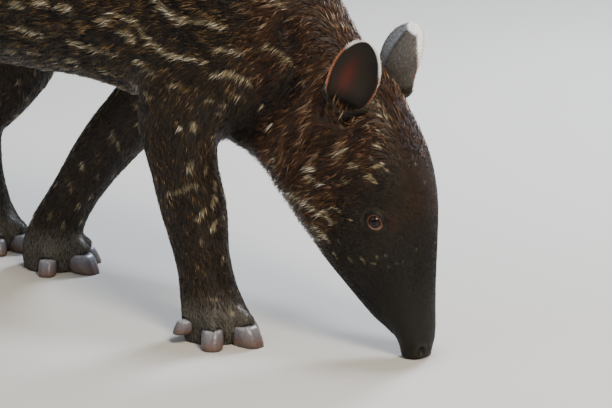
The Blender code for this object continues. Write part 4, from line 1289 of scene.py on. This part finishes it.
class CALF_OT_coat(bpy.types.Operator):
    """Covers the skin with solid tufts that follow the lie of the hair"""

    bl_idname = "calf.coat"
    bl_label = "Coat"

    def execute(self, context):
        skin = bpy.data.objects["skin"]
        streaks = [(np.array(line), w, st) for line, w, st in json.loads(skin["streaks"])]
        source = np.random.default_rng(7)
        cover = settings().tuft_cover * 1

        def density(points):
            where, length, width, _ = tuft_sizes(points)
            size = around_eyes(points)[0]
            bare = steps(2.1, 2.5, size) * (nostril_depth(points) < -0.5) * ~around_ears(points)[1]
            sparse = 1 - 0.25 * where["snout"] - 0.35 * where["face"] - 0.45 * where["limb"]
            return cover / (length * width * TUFT_AREA) * bare * sparse

        roots, normals = sample_skin(skin.data, density, source)
        where, length, width, lift = tuft_sizes(roots)
        lies, ridge, loose, foot, strands = lay_tufts(roots, normals, where, source)
        count = len(roots)
        length = length * source.uniform(0.7, 1.25, count)
        into_ear = around_ears(roots + lies * length[:, None])[1] & (foot < 0.5)
        length = length * np.where(into_ear, 0.3, 1)
        width = width * source.uniform(0.7, 1.3, count)
        lift = lift * (1 + 1.2 * foot)
        lift = lift * np.clip(source.uniform(0.55, 1.0, count) + 0.38 * ridge * loose, 0.2, 1.7)
        cream = cream_at(roots + lies * (length * 0.35)[:, None], streaks, 0.75)
        values = colour_tufts(roots, cream, where, ridge, loose, foot, strands, source)
        width = width * (1 - 0.25 * (values["cream"] > 0))
        label, u, v = zone_places(roots)
        material = coat_material()
        for name in sorted(set(label)):
            here = label == name
            shape = [numbers[here] for numbers in (roots, normals, lies, length, width, lift)]
            block = tufts(*shape, source)
            shares = {key: numbers[here] for key, numbers in values.items()}
            tuft_piece(name, block, shares, u[here], v[here], material, "coat")
        return {"FINISHED"}


EAR_ROWS = 48
EAR_COLUMNS = 40
EAR_BURIED = 0.10          # the share of an ear that is inside the head
EAR_FLATNESS = 0.62        # how deep the cup is for a round one of the same width
EAR_THICK = 0.0008         # half its thickness at the tip


def ear_mesh(side):
    """The ear as a thin closed cup with a rounded rim and folds inside, and what grows where on it."""
    up, opening, wide = ear_axes(side)
    steps_up = np.arange(EAR_ROWS + 1) / EAR_ROWS
    shares = 0.5 * steps_up + 0.5 * np.sin(math.pi / 2 * steps_up)
    columns = 2 * np.arange(EAR_COLUMNS + 1) / EAR_COLUMNS - 1
    across = np.tile(np.concatenate((columns, -columns)), len(shares))
    face = np.tile(np.repeat((1.0, -1.0), EAR_COLUMNS + 1), len(shares))
    along = np.repeat(shares, 2 * (EAR_COLUMNS + 1))
    tip = 1 - along
    edge = 1 - np.abs(across)
    half, lean, wrap, curl = ear_section(side, along)
    round_off = np.sqrt(np.minimum(edge / 0.10, 1)) * np.sqrt(np.minimum(tip / 0.06, 1))
    thick = (EAR_THICK + 0.0010 * tip) * (0.25 + 0.75 * round_off)
    ridges = 0.0007 * np.sin(9 * across + 2 * along)
    groove = 0.0009 * bell(across * side - 0.45 * tip, 0.10)
    folds = np.where(face > 0, ridges, groove) * bell(across, 0.7) * np.sin(math.pi * along)
    a = wrap * across
    radius = curl - thick * face - folds
    depth = (curl * np.cos(wrap) - radius * np.cos(a)) * EAR_FLATNESS
    points = ear_root(side) + up * (EAR_LENGTH * (along - EAR_BURIED))[:, None]
    points = points + wide * (radius * np.sin(a))[:, None] + opening * (lean + depth)[:, None]
    size = 2 * (EAR_COLUMNS + 1)
    count = len(points) // size
    corners = []
    for i in range(count - 1):
        for k in range(size):
            m = (k + 1) % size
            corners.append((i * size + k, i * size + m, (i + 1) * size + m, (i + 1) * size + k))
    for base in (0, (count - 1) * size):
        for k in range(size // 2 - 1):
            quad = (base + k, base + k + 1, base + size - 2 - k, base + size - 1 - k)
            corners.append(quad if base == 0 else quad[::-1])
    mesh = mesh_from_arrays("ear", points, np.array(corners))
    with editing(mesh) as bm:
        bmesh.ops.recalc_face_normals(bm, faces=bm.faces)
    return mesh, edge * half, (face > 0) * 1.0, -across * side, along


def ear_material():
    """Thin skin with fine hair: grey brown outside with a painted bluish sheen on one side of its back and
    painted shade along its fold, dark brown inside with red where light comes through, and painted shade
    towards its foot.
    """
    made, tree, shader = new_material("ear_skin", 0.46)
    fac = {name: add_node(tree, "ShaderNodeAttribute", attribute_name=name).outputs["Fac"]
           for name in ("white", "inner", "pink", "red", "grey", "fold_shade", "root", "along", "front")}
    # fine hairs that run up the ear: 4 mm long and 0.5 mm across
    flat = add_node(tree, "ShaderNodeCombineXYZ", {"X": fac["along"], "Y": fac["front"]})
    fine = (EAR_LENGTH * per_metre(3.827), EARS[-1][1] * per_metre(0.416), 1.0)
    strands = add_node(tree, "ShaderNodeVectorMath", {0: flat.outputs[0], 1: fine}, operation="MULTIPLY")
    hair = add_node(tree, "ShaderNodeTexNoise", {"Vector": strands.outputs[0], "Scale": 1.0, "Detail": 4.0})
    sides = []
    for low, high in (("#0d0803", "#241808"), ("#161413", "#6a6662")):
        tones = {0: hair.outputs["Fac"], 6: linear(low), 7: linear(high)}
        sides.append(add_node(tree, "ShaderNodeMix", tones, data_type="RGBA").outputs[2])
    inside = add_node(tree, "ShaderNodeMix", {0: fac["red"], 6: sides[0], 7: linear("#4c1408")},
                      data_type="RGBA").outputs[2]
    base = sides[1]
    # painted light: a bluish sheen on one side of the back, shade along the fold down its middle, and shade
    # towards the ear's foot
    for name, layer in (("grey", linear("#7d8794")), ("fold_shade", linear("#1d1917")), ("inner", inside),
                        ("pink", linear("#b06a45")), ("root", linear("#150d07")),
                        ("white", linear(settings().rim))):
        base = add_node(tree, "ShaderNodeMix", {0: fac[name], 6: base, 7: layer},
                        data_type="RGBA").outputs[2]
    tree.links.new(base, shader.inputs["Base Color"])
    dull = add_node(tree, "ShaderNodeMath", {0: fac["inner"], 1: 0.34, 2: 0.42}, operation="MULTIPLY_ADD")
    tree.links.new(dull.outputs[0], shader.inputs["Roughness"])
    bump = add_node(tree, "ShaderNodeBump", {"Height": hair.outputs["Fac"], "Strength": 0.7,
                    "Distance": 0.0004})
    tree.links.new(bump.outputs[0], shader.inputs["Normal"])
    return made


EAR_TUFT_LENGTH = 0.0030
EAR_TUFT_WIDTH = 0.00042


def ear_hair(word, side, mesh, edge, inner, front, along, source):
    """Fine short hair over the back of an ear and out past its rim."""
    points, normals = mesh_arrays(mesh)
    grown = np.maximum(1 - inner, 1.6 * steps(0.0024, 0.0008, edge) * (along > 0.22))
    grown = grown * steps(0.0, 0.1, along) * (1 + 1.2 * steps(0.34, 0.20, along))
    density = grown * 0.6 / (EAR_TUFT_LENGTH * EAR_TUFT_WIDTH * TUFT_AREA)
    chosen = grown_triangles(points, triangles_of(mesh), density, source)
    weights = source.dirichlet((1, 1, 1), len(chosen))

    def blend(values):
        return (values[chosen] * (weights[..., None] if values.ndim > 1 else weights)).sum(1)

    roots, out = blend(points), unit(blend(normals))
    up, _, wide = ear_axes(side)
    edges, fronts, heights, inside = (blend(values) for values in (edge, front, along, inner))
    lies = up[None] + (-side * fronts * 0.5)[:, None] * wide[None] + source.normal(0, 0.14, (len(roots), 3))
    lies = unit(laid_flat(lies, out))
    count = len(roots)
    low = steps(0.30, 0.12, heights)
    length = (EAR_TUFT_LENGTH + 0.0040 * low) * source.uniform(0.6, 1.3, count)
    lift = (0.0007 + 0.0012 * low) * source.uniform(0.4, 1.2, count)
    width = EAR_TUFT_WIDTH * source.uniform(0.7, 1.3, count)
    block = tufts(roots, out, lies, length, width, lift, source)
    white = ear_white(edges, inside, fronts, heights)
    values = {
        "cream": (source.random(count) < white) * 1.0,
        "tint": np.clip(0.38 + source.normal(0, 0.28, count) + 0.6 * white - 0.15 * low, 0, 1),
        "pale": 0.55 * (1 - inside) * (1 - low),
        "warm": 0.6 * inside,
    }
    v = on_sheet((fronts + 1) / 2)
    v = np.where(inside > 0.5, v, 1 - v) * 0.98
    material = bpy.data.materials["guard_hair"]
    tuft_piece(f"ear_hair_{word}", block, values, on_sheet(heights), v, material, "coat")


def ear_white(edge, inner, front, along):
    """Where the rim carries white hair: over the tip and down its front side."""
    rim = np.minimum(edge, (1 - along) * EAR_LENGTH * 0.85)
    wide = 0.0085 * steps(0.70, 1.02, along + 0.25 * front)
    tip = steps(0.0004, -0.0016, rim - wide) * steps(0.45, 0.6, along) * (1 - inner)
    lip = steps(0.0040, 0.0022, edge) * steps(0.68, 0.82, along + 0.10 * front)
    return np.clip(np.maximum(tip, lip), 0, 1)


class CALF_OT_ears(bpy.types.Operator):
    """Makes both ears with their rims"""

    bl_idname = "calf.ears"
    bl_label = "Ears"

    def execute(self, context):
        material = ear_material()
        source = np.random.default_rng(29)
        for word, side in EYES.items():
            mesh, edge, inner, front, along = ear_mesh(side)
            pink = steps(0.0018, 0.0008, edge) * steps(0.12, 0.3, along)
            # painted sheen: the bluish grey band on one side of the ear's back
            grey = between(front, (-0.9, -0.55), (-0.15, 0.05)) * steps(0.25, 0.5, along)
            values = {
                "white": ear_white(edge, inner, front, along),
                "inner": inner,
                "along": along,
                "front": front,
                "pink": pink * (1 - 0.8 * inner * steps(-0.1, 0.3, front)),
                "red": 0.8 * bell(front + 0.26, 0.22) * bell(along - 0.48, 0.24) * inner,
                "grey": 0.7 * grey,
                # painted shade: the dark line along the fold down the middle of the ear
                "fold_shade": 0.8 * bell(front - 0.05 + 0.25 * (1 - along), 0.07) * steps(0.2, 0.4, along),
                # painted shade: the ear grows darker towards its foot, where it meets the head
                "root": steps(0.34, 0.14, along),
            }
            for name, numbers in values.items():
                set_value(mesh, name, numbers)
            add_piece(f"ear_cup_{word}", mesh, material, f"ear_{word}", slot="ear_skin")
            ear_hair(word, side, mesh, edge, inner, front, along, source)
        return {"FINISHED"}


def eye_material():
    """The wet eye: a dark brown iris under a clear glossy cornea."""
    made, tree, shader = new_material("wet_eyeball", 0.03)
    ring = add_node(tree, "ShaderNodeAttribute", attribute_name="ring").outputs["Fac"]
    # from the pupil through the iris to the dark outer ball
    ramp = add_node(tree, "ShaderNodeValToRGB", {"Fac": ring}, (
        (0.25, "#05060a"), (0.34, "#241510"), (0.66, "#2a1811"), (0.74, "#0e0908"), (1, "#0c0807")))
    tree.links.new(ramp.outputs["Color"], shader.inputs["Base Color"])
    shader.inputs["IOR"].default_value = 1.34
    return made


def lid_material():
    """Bare lid skin: dark and moist at the margin, a pale painted highlight along the lower margin, an orange
    brown ring, then pale creases in dark brown.
    """
    made, tree, shader = new_material("lid_skin", 0.52)
    edge = add_node(tree, "ShaderNodeAttribute", attribute_name="edge").outputs["Fac"]
    lower = add_node(tree, "ShaderNodeAttribute", attribute_name="lower").outputs["Fac"]
    place = add_node(tree, "ShaderNodeTexCoord").outputs["Object"]
    crease = add_node(tree, "ShaderNodeTexNoise", {"Vector": place, "Scale": per_metre(1.4286), "Detail": 3.0})
    above = ((0, "#0c0807"), (0.28, "#160d09"), (0.345, "#9a5f3c"), (0.40, "#2a1c14"), (0.55, "#1f1810"),
             (1, "#1c160e"))
    # painted highlight: the pale stop at 0.21 of the lower lid is light on its wet margin
    below = ((0, "#120b09"), (0.15, "#3a221b"), (0.21, "#c09c8e"), (0.27, "#140c08"), (0.345, "#a3745a"),
             (0.43, "#3a261b"), (0.58, "#211910"), (1, "#1c160e"))
    upper, under = (add_node(tree, "ShaderNodeValToRGB", {"Fac": edge}, stops).outputs["Color"]
                    for stops in (above, below))
    both = add_node(tree, "ShaderNodeMix", {0: lower, 6: upper, 7: under}, data_type="RGBA")
    shades = {0: crease.outputs["Fac"], 6: linear("#5a5a5a"), 7: linear("#ffffff")}
    dim = add_node(tree, "ShaderNodeMix", shades, data_type="RGBA")
    final = add_node(tree, "ShaderNodeMix", {0: 1.0, 6: both.outputs[2], 7: dim.outputs[2]},
                     data_type="RGBA", blend_type="MULTIPLY")
    tree.links.new(final.outputs[2], shader.inputs["Base Color"])
    shader.inputs["Specular IOR Level"].default_value = 0.25
    bump = add_node(tree, "ShaderNodeBump", {"Height": crease.outputs["Fac"], "Strength": 0.5,
                    "Distance": 0.0004})
    tree.links.new(bump.outputs[0], shader.inputs["Normal"])
    return made


# The section of a lid, from the ball outwards: distance out from the opening's edge, height over it
LID_SECTION = [(-0.0002, -0.0016), (-0.0001, -0.0004), (0.0001, 0.0003), (0.0004, 0.0007), (0.0008, 0.0009),
               (0.0013, 0.0009), (0.0018, 0.0006), (0.0022, 0.0003), (0.0026, 0.0004), (0.0031, 0.0005),
               (0.0037, 0.0003), (0.0044, 0.0002), (0.0053, 0.0), (0.0063, -0.0006), (0.0076, -0.0020)]
LID_STEPS = 72


def lid_mesh(side, tree):
    """Both lids as one almond of skin that rolls over the ball and runs out into the face."""
    centre, radius, look, along, over = eye_parts(side)
    rings = []
    for i in range(LID_STEPS):
        a = 2 * math.pi * i / LID_STEPS
        pinch = 1 - 0.10 * math.sin(a) ** 4
        front = max(0.0, math.cos(a + 0.75 * side)) ** 2
        corner = 1 + 0.05 * front
        out = along * (LID_HALF_LENGTH * math.cos(a) * corner)
        out = out + over * (LID_HALF_HEIGHT * math.sin(a) * pinch * corner)
        reach = np.linalg.norm(out)
        out = out / reach
        edge = math.sqrt(max(radius**2 - reach**2, 0.0))
        ring = []
        for aside_by, high in LID_SECTION:
            share = steps(0.0015, 0.0080, aside_by)
            flat = out * (reach + aside_by * (1 + 1.5 * front * math.exp(-aside_by / 0.004)))
            start = centre + flat + look * 0.03
            hit = tree.ray_cast(Vector(start), Vector(-look))[0]
            level = (np.array(hit) - centre) @ look if hit else edge
            height = (edge + 0.0002) * (1 - share) + level * share + high
            ring.append(centre + flat + look * height)
        rings.append(ring)
    points = np.array([p for ring in rings for p in ring])
    size = len(LID_SECTION)
    corners = []
    for i in range(LID_STEPS):
        j = (i + 1) % LID_STEPS
        for k in range(size - 1):
            corners.append((i * size + k, j * size + k, j * size + k + 1, i * size + k + 1))
    mesh = mesh_from_arrays("lids", points, np.array(corners))
    set_value(mesh, "edge", np.tile(np.arange(size) / (size - 1), LID_STEPS))
    low = -(points - centre) @ unit(np.array((0, 0, 1)) - look * look[2])
    set_value(mesh, "lower", steps(0.001, 0.005, low))
    return mesh


# The clear front of the eye as a ball of its own: its radius and how far ahead it sits, in eyeball radii
CORNEA = 0.78
CORNEA_AHEAD = 0.3113


LID_TUFTS_FROM = 0.42      # share of the lid's width where its hair begins
LID_TUFTS = 1.1e6          # tufts for each square metre


def eyeball_mesh(side):
    """An eyeball whose clear front bulges, with the share of its radius that colours the iris."""
    centre, radius, look, _, _ = eye_parts(side)
    bm = bmesh.new()
    bmesh.ops.create_uvsphere(bm, u_segments=64, v_segments=48, radius=radius)
    turn = Vector((0, 0, 1)).rotation_difference(Vector(look)).to_matrix().to_4x4()
    bmesh.ops.transform(bm, matrix=Matrix.Translation(Vector(centre)) @ turn, verts=bm.verts)
    mesh = smooth_mesh("eyeball", bm)
    points, _ = mesh_arrays(mesh)
    offset = points - centre
    in_front = offset @ look > 0
    ring = np.linalg.norm(offset - np.outer(offset @ look, look), axis=1) / radius
    ring = np.where(in_front, ring, 1)
    set_value(mesh, "ring", ring)
    sphere = np.sqrt(np.clip(1 - ring**2, 0, 1))
    bulge = np.sqrt(np.clip(CORNEA**2 - ring**2, 0, 1)) + CORNEA_AHEAD - sphere
    bulge = np.clip(bulge, 0, None) * (ring < 0.66) * in_front
    set_points(mesh, points + look * (bulge * radius)[:, None])
    return mesh


def lid_hair(word, side, lids, source):
    """Short hair on the outer part of the lids, which carries the coat in to the bare skin."""
    centre, _, _, along, over = eye_parts(side)
    edges = np.empty(len(lids.vertices), np.float32)
    lids.attributes["edge"].data.foreach_get("value", edges)
    density = np.where(edges > LID_TUFTS_FROM, LID_TUFTS, 0) * steps(LID_TUFTS_FROM, 0.60, edges)
    roots, normals = sample_skin(lids, lambda points: density, source)
    count = len(roots)
    length, width, lift = (size * source.uniform(low, 1.2, count)
                           for size, low in ((0.0026, 0.7), (0.00036, 0.7), (0.0005, 0.4)))
    block = tufts(roots, normals, lie_of_coat(roots, normals), length, width, lift, source)
    tint = np.clip(0.28 + source.normal(0, 0.16, count), 0, 1)
    values = {"cream": 0 * tint, "tint": tint, "pale": 0 * tint, "warm": 0.3 + 0 * tint}
    turn = np.arctan2((roots - centre) @ over, (roots - centre) @ along) / (2 * math.pi) + 0.5
    reach = np.clip(np.linalg.norm(roots - centre, axis=1) / 0.02, 0, 1)
    tuft_piece(f"lid_hair_{word}", block, values, on_sheet(turn), on_sheet(reach),
               bpy.data.materials["guard_hair"], "coat")


class CALF_OT_eyes(bpy.types.Operator):
    """Makes the eyeballs and the lids round them"""

    bl_idname = "calf.eyes"
    bl_label = "Eyes"

    def execute(self, context):
        ball = eye_material()
        lid_skin = lid_material()
        source = np.random.default_rng(53)
        tree = tree_of(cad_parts["head"].data)
        for word, side in EYES.items():
            add_piece(f"eyeball_{word}", eyeball_mesh(side), ball, f"eye_{word}", slot="eye")
            lids = lid_mesh(side, tree)
            add_piece(f"lids_{word}", lids, lid_skin, slot="coat")
            lid_hair(word, side, lids, source)
        return {"FINISHED"}


def hoof_mesh(turn, place, size, height):
    """A hoof as a leaning dome on a flat worn sole: a square coronet, growth rings and a blunt fore edge."""
    bm = bmesh.new()
    radii = HOOF_RADII * size
    bmesh.ops.create_uvsphere(bm, u_segments=56, v_segments=44, radius=1)
    lean = math.tan(math.radians(HOOF_LEAN))
    floor = -0.35 * radii.z
    tall = radii.z - floor
    move = Matrix.Translation(place + Vector((0, 0, height - floor))) @ turn
    up = []
    for v in bm.verts:
        x, y, z = v.co
        low = max(z * radii.z, floor)
        share = (low - floor) / tall
        flat = math.hypot(x, y)
        wide = 1
        if z > 0:
            wide = math.sqrt(max(1 - z**3.2, 0)) / max(math.sqrt(max(1 - z * z, 0)), 1e-6)
        wide = min(wide, 1 / max(flat, 1e-6)) if flat > 1e-6 else 1
        square = 1 + 0.10 * (abs(x * y) / max(flat**2, 1e-9)) * 2
        ring = 1 - 0.014 * (0.5 + 0.5 * math.sin(share * 34)) * steps(0.95, 0.8, share)
        coronet = 1 + 0.05 * math.exp(-(((share - 0.80) / 0.05) ** 2))
        top = low - 0.16 * tall * float(steps(0.62, 1.0, share))
        spread = ring * wide * coronet * square
        up.append(share)
        v.co = move @ Vector((x * radii.x * spread - top * lean + HOOF_AHEAD, y * radii.y * spread, top))
    mesh = smooth_mesh("hoof", bm)
    set_value(mesh, "up", up)
    return mesh


def horn_material():
    """Grown horn: grey purple, a painted bluish white highlight of the sky at the coronet and top, pink brown
    and worn towards the sole.
    """
    made, tree, shader = new_material("hoof_horn", 0.34)
    up = add_node(tree, "ShaderNodeAttribute", attribute_name="up").outputs["Fac"]
    place = add_node(tree, "ShaderNodeTexCoord").outputs["Object"]
    # stains about 4.5 mm across, which also ripple the horn, and dirt in specks of 1.6 mm
    stain = add_node(tree, "ShaderNodeTexNoise", {"Vector": place, "Scale": per_metre(4.545), "Detail": 5.0})
    shifted = add_node(tree, "ShaderNodeMath", {0: stain.outputs["Fac"], 1: 0.30, 2: up},
                       operation="MULTIPLY_ADD")
    # painted highlight: the upper end of the ramp, bluish white at the coronet and top, stands for the sky's
    # reflection
    ramp = add_node(tree, "ShaderNodeValToRGB", {"Fac": shifted.outputs[0]}, (
        (0.10, "#4d3a31"), (0.32, "#7f675c"), (0.55, settings().horn), (0.78, "#8b8a93"), (0.98, "#d6dde6")))
    dirt = add_node(tree, "ShaderNodeTexNoise", {"Vector": place, "Scale": per_metre(1.613), "Detail": 4.0})
    shades = {0: dirt.outputs["Fac"], 6: linear("#4a4038"), 7: linear("#ffffff")}
    worn = add_node(tree, "ShaderNodeMix", shades, data_type="RGBA")
    final = add_node(tree, "ShaderNodeMix", {0: 0.8, 6: ramp.outputs["Color"], 7: worn.outputs[2]},
                     data_type="RGBA", blend_type="MULTIPLY")
    tree.links.new(final.outputs[2], shader.inputs["Base Color"])
    bump = add_node(tree, "ShaderNodeBump", {"Height": stain.outputs["Fac"], "Strength": 0.25,
                    "Distance": 0.0005})
    tree.links.new(bump.outputs[0], shader.inputs["Normal"])
    return made


class CALF_OT_hooves(bpy.types.Operator):
    """Makes the fourteen hooves"""

    bl_idname = "calf.hooves"
    bl_label = "Hooves"

    def execute(self, context):
        material = horn_material()
        for leg, number, place, turn, size, height in toe_places():
            word = leg.replace("leg", "foot")
            node = next(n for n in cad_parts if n.startswith("hoof") and word in n and str(number) in n)
            mesh = hoof_mesh(turn, place, size, height)
            add_piece(f"horn_{word}_{number}", mesh, material, node, slot="horn")
        return {"FINISHED"}


VIEW_TARGET = Vector((0.2341, 0.0208, 0.1344))
VIEW_AHEAD = Vector((-0.5540, 0.7912, -0.2588)).normalized()
VIEW_RIGHT = Vector((0.8192, 0.5736, 0))
VIEW_DISTANCE = 4
LENS = 223.5               # millimetres, on a sensor 36 mm wide
FLOOR_HALF = 12
WARM_LIGHT = "#fff0da"
COOL_LIGHT = "#e8f0ff"
LIGHTS = (  # name, steps right, ahead and up from the target, diameter, watts, colour
    ("key", 0.9, -2.2, 1.75, 1.00, 105, WARM_LIGHT),
    ("rim", 0.9, 1.5, 1.6, 0.6, 48, COOL_LIGHT),
    ("top", 0.1, 0.3, 2.4, 0.5, 36, COOL_LIGHT),
    ("fill", -1.8, -1.4, 1.2, 2.2, 12, COOL_LIGHT),
)


def aimed(name, data, place, ahead):
    """An object for a light or camera that looks ahead from its place."""
    made = bpy.data.objects.new(name, data)
    made.location = place
    made.rotation_euler = ahead.to_track_quat("-Z", "Y").to_euler()
    bpy.context.scene.collection.objects.link(made)
    return made


def paper_material():
    """Matt studio paper: pale grey, very slightly clouded."""
    made, tree, shader = new_material("studio_paper", 0.85)
    place = add_node(tree, "ShaderNodeTexCoord").outputs["Object"]
    cloud = add_node(tree, "ShaderNodeTexNoise", {"Vector": place, "Scale": per_metre(666.7)})
    shades = {0: cloud.outputs["Fac"], 6: linear("#cfccc5"), 7: linear("#d8d6d0")}
    tone = add_node(tree, "ShaderNodeMix", shades, data_type="RGBA")
    tree.links.new(tone.outputs[2], shader.inputs["Base Color"])
    return made


class CALF_OT_studio(bpy.types.Operator):
    """Sets the pale floor, the soft lights and the camera"""

    bl_idname = "calf.studio"
    bl_label = "Studio"

    def execute(self, context):
        scene = context.scene
        corners = [(FLOOR_HALF * x, FLOOR_HALF * y, 0) for x, y in ((-1, -1), (1, -1), (1, 1), (-1, 1))]
        floor = bpy.data.objects.new("floor", mesh_from_arrays("floor", corners, np.array([(0, 1, 2, 3)])))
        floor.data.materials.append(paper_material())
        scene.collection.objects.link(floor)
        scene.world = bpy.data.worlds.new("studio")
        scene.world.use_nodes = True
        background = scene.world.node_tree.nodes["Background"]
        background.inputs["Color"].default_value = linear("#dfe3e6")
        background.inputs["Strength"].default_value = 0.32
        for name, right, ahead, up, size, power, colour in LIGHTS:
            light = bpy.data.lights.new(name, "AREA")
            light.shape = "DISK"
            light.size = size
            light.energy = power
            light.color = linear(colour)[:3]
            place = VIEW_TARGET + VIEW_RIGHT * right + VIEW_AHEAD * ahead + Vector((0, 0, up))
            aimed(name, light, place, VIEW_TARGET - place)
        camera = bpy.data.cameras.new("camera")
        camera.lens = LENS
        camera.sensor_width = 36
        camera.clip_end = 60
        scene.camera = aimed("camera", camera, VIEW_TARGET - VIEW_AHEAD * VIEW_DISTANCE, VIEW_AHEAD)
        return {"FINISHED"}


class CALF_PT_panel(bpy.types.Panel):
    """Lists the steps that dress the calf"""

    bl_label = "Calf"
    bl_idname = "CALF_PT_panel"
    bl_space_type = "VIEW_3D"
    bl_region_type = "UI"
    bl_category = "Calf"

    def draw(self, context):
        for name in CalfSettings.__annotations__:
            self.layout.prop(context.scene.calf, name)
        for step in OPERATORS:
            self.layout.operator(step.bl_idname)


OPERATORS = (CALF_OT_skin, CALF_OT_coat, CALF_OT_ears, CALF_OT_eyes, CALF_OT_hooves, CALF_OT_studio)


def register():
    for item in (CalfSettings, *OPERATORS, CALF_PT_panel):
        bpy.utils.register_class(item)
    bpy.types.Scene.calf = bpy.props.PointerProperty(type=CalfSettings)


def unregister():
    del bpy.types.Scene.calf
    for item in reversed((CalfSettings, *OPERATORS, CALF_PT_panel)):
        bpy.utils.unregister_class(item)


def main():
    register()
    bpy.ops.calf.skin()
    bpy.ops.calf.coat()
    bpy.ops.calf.ears()
    bpy.ops.calf.eyes()
    bpy.ops.calf.hooves()
    bpy.ops.calf.studio()


if __name__ == "__main__":
    main()
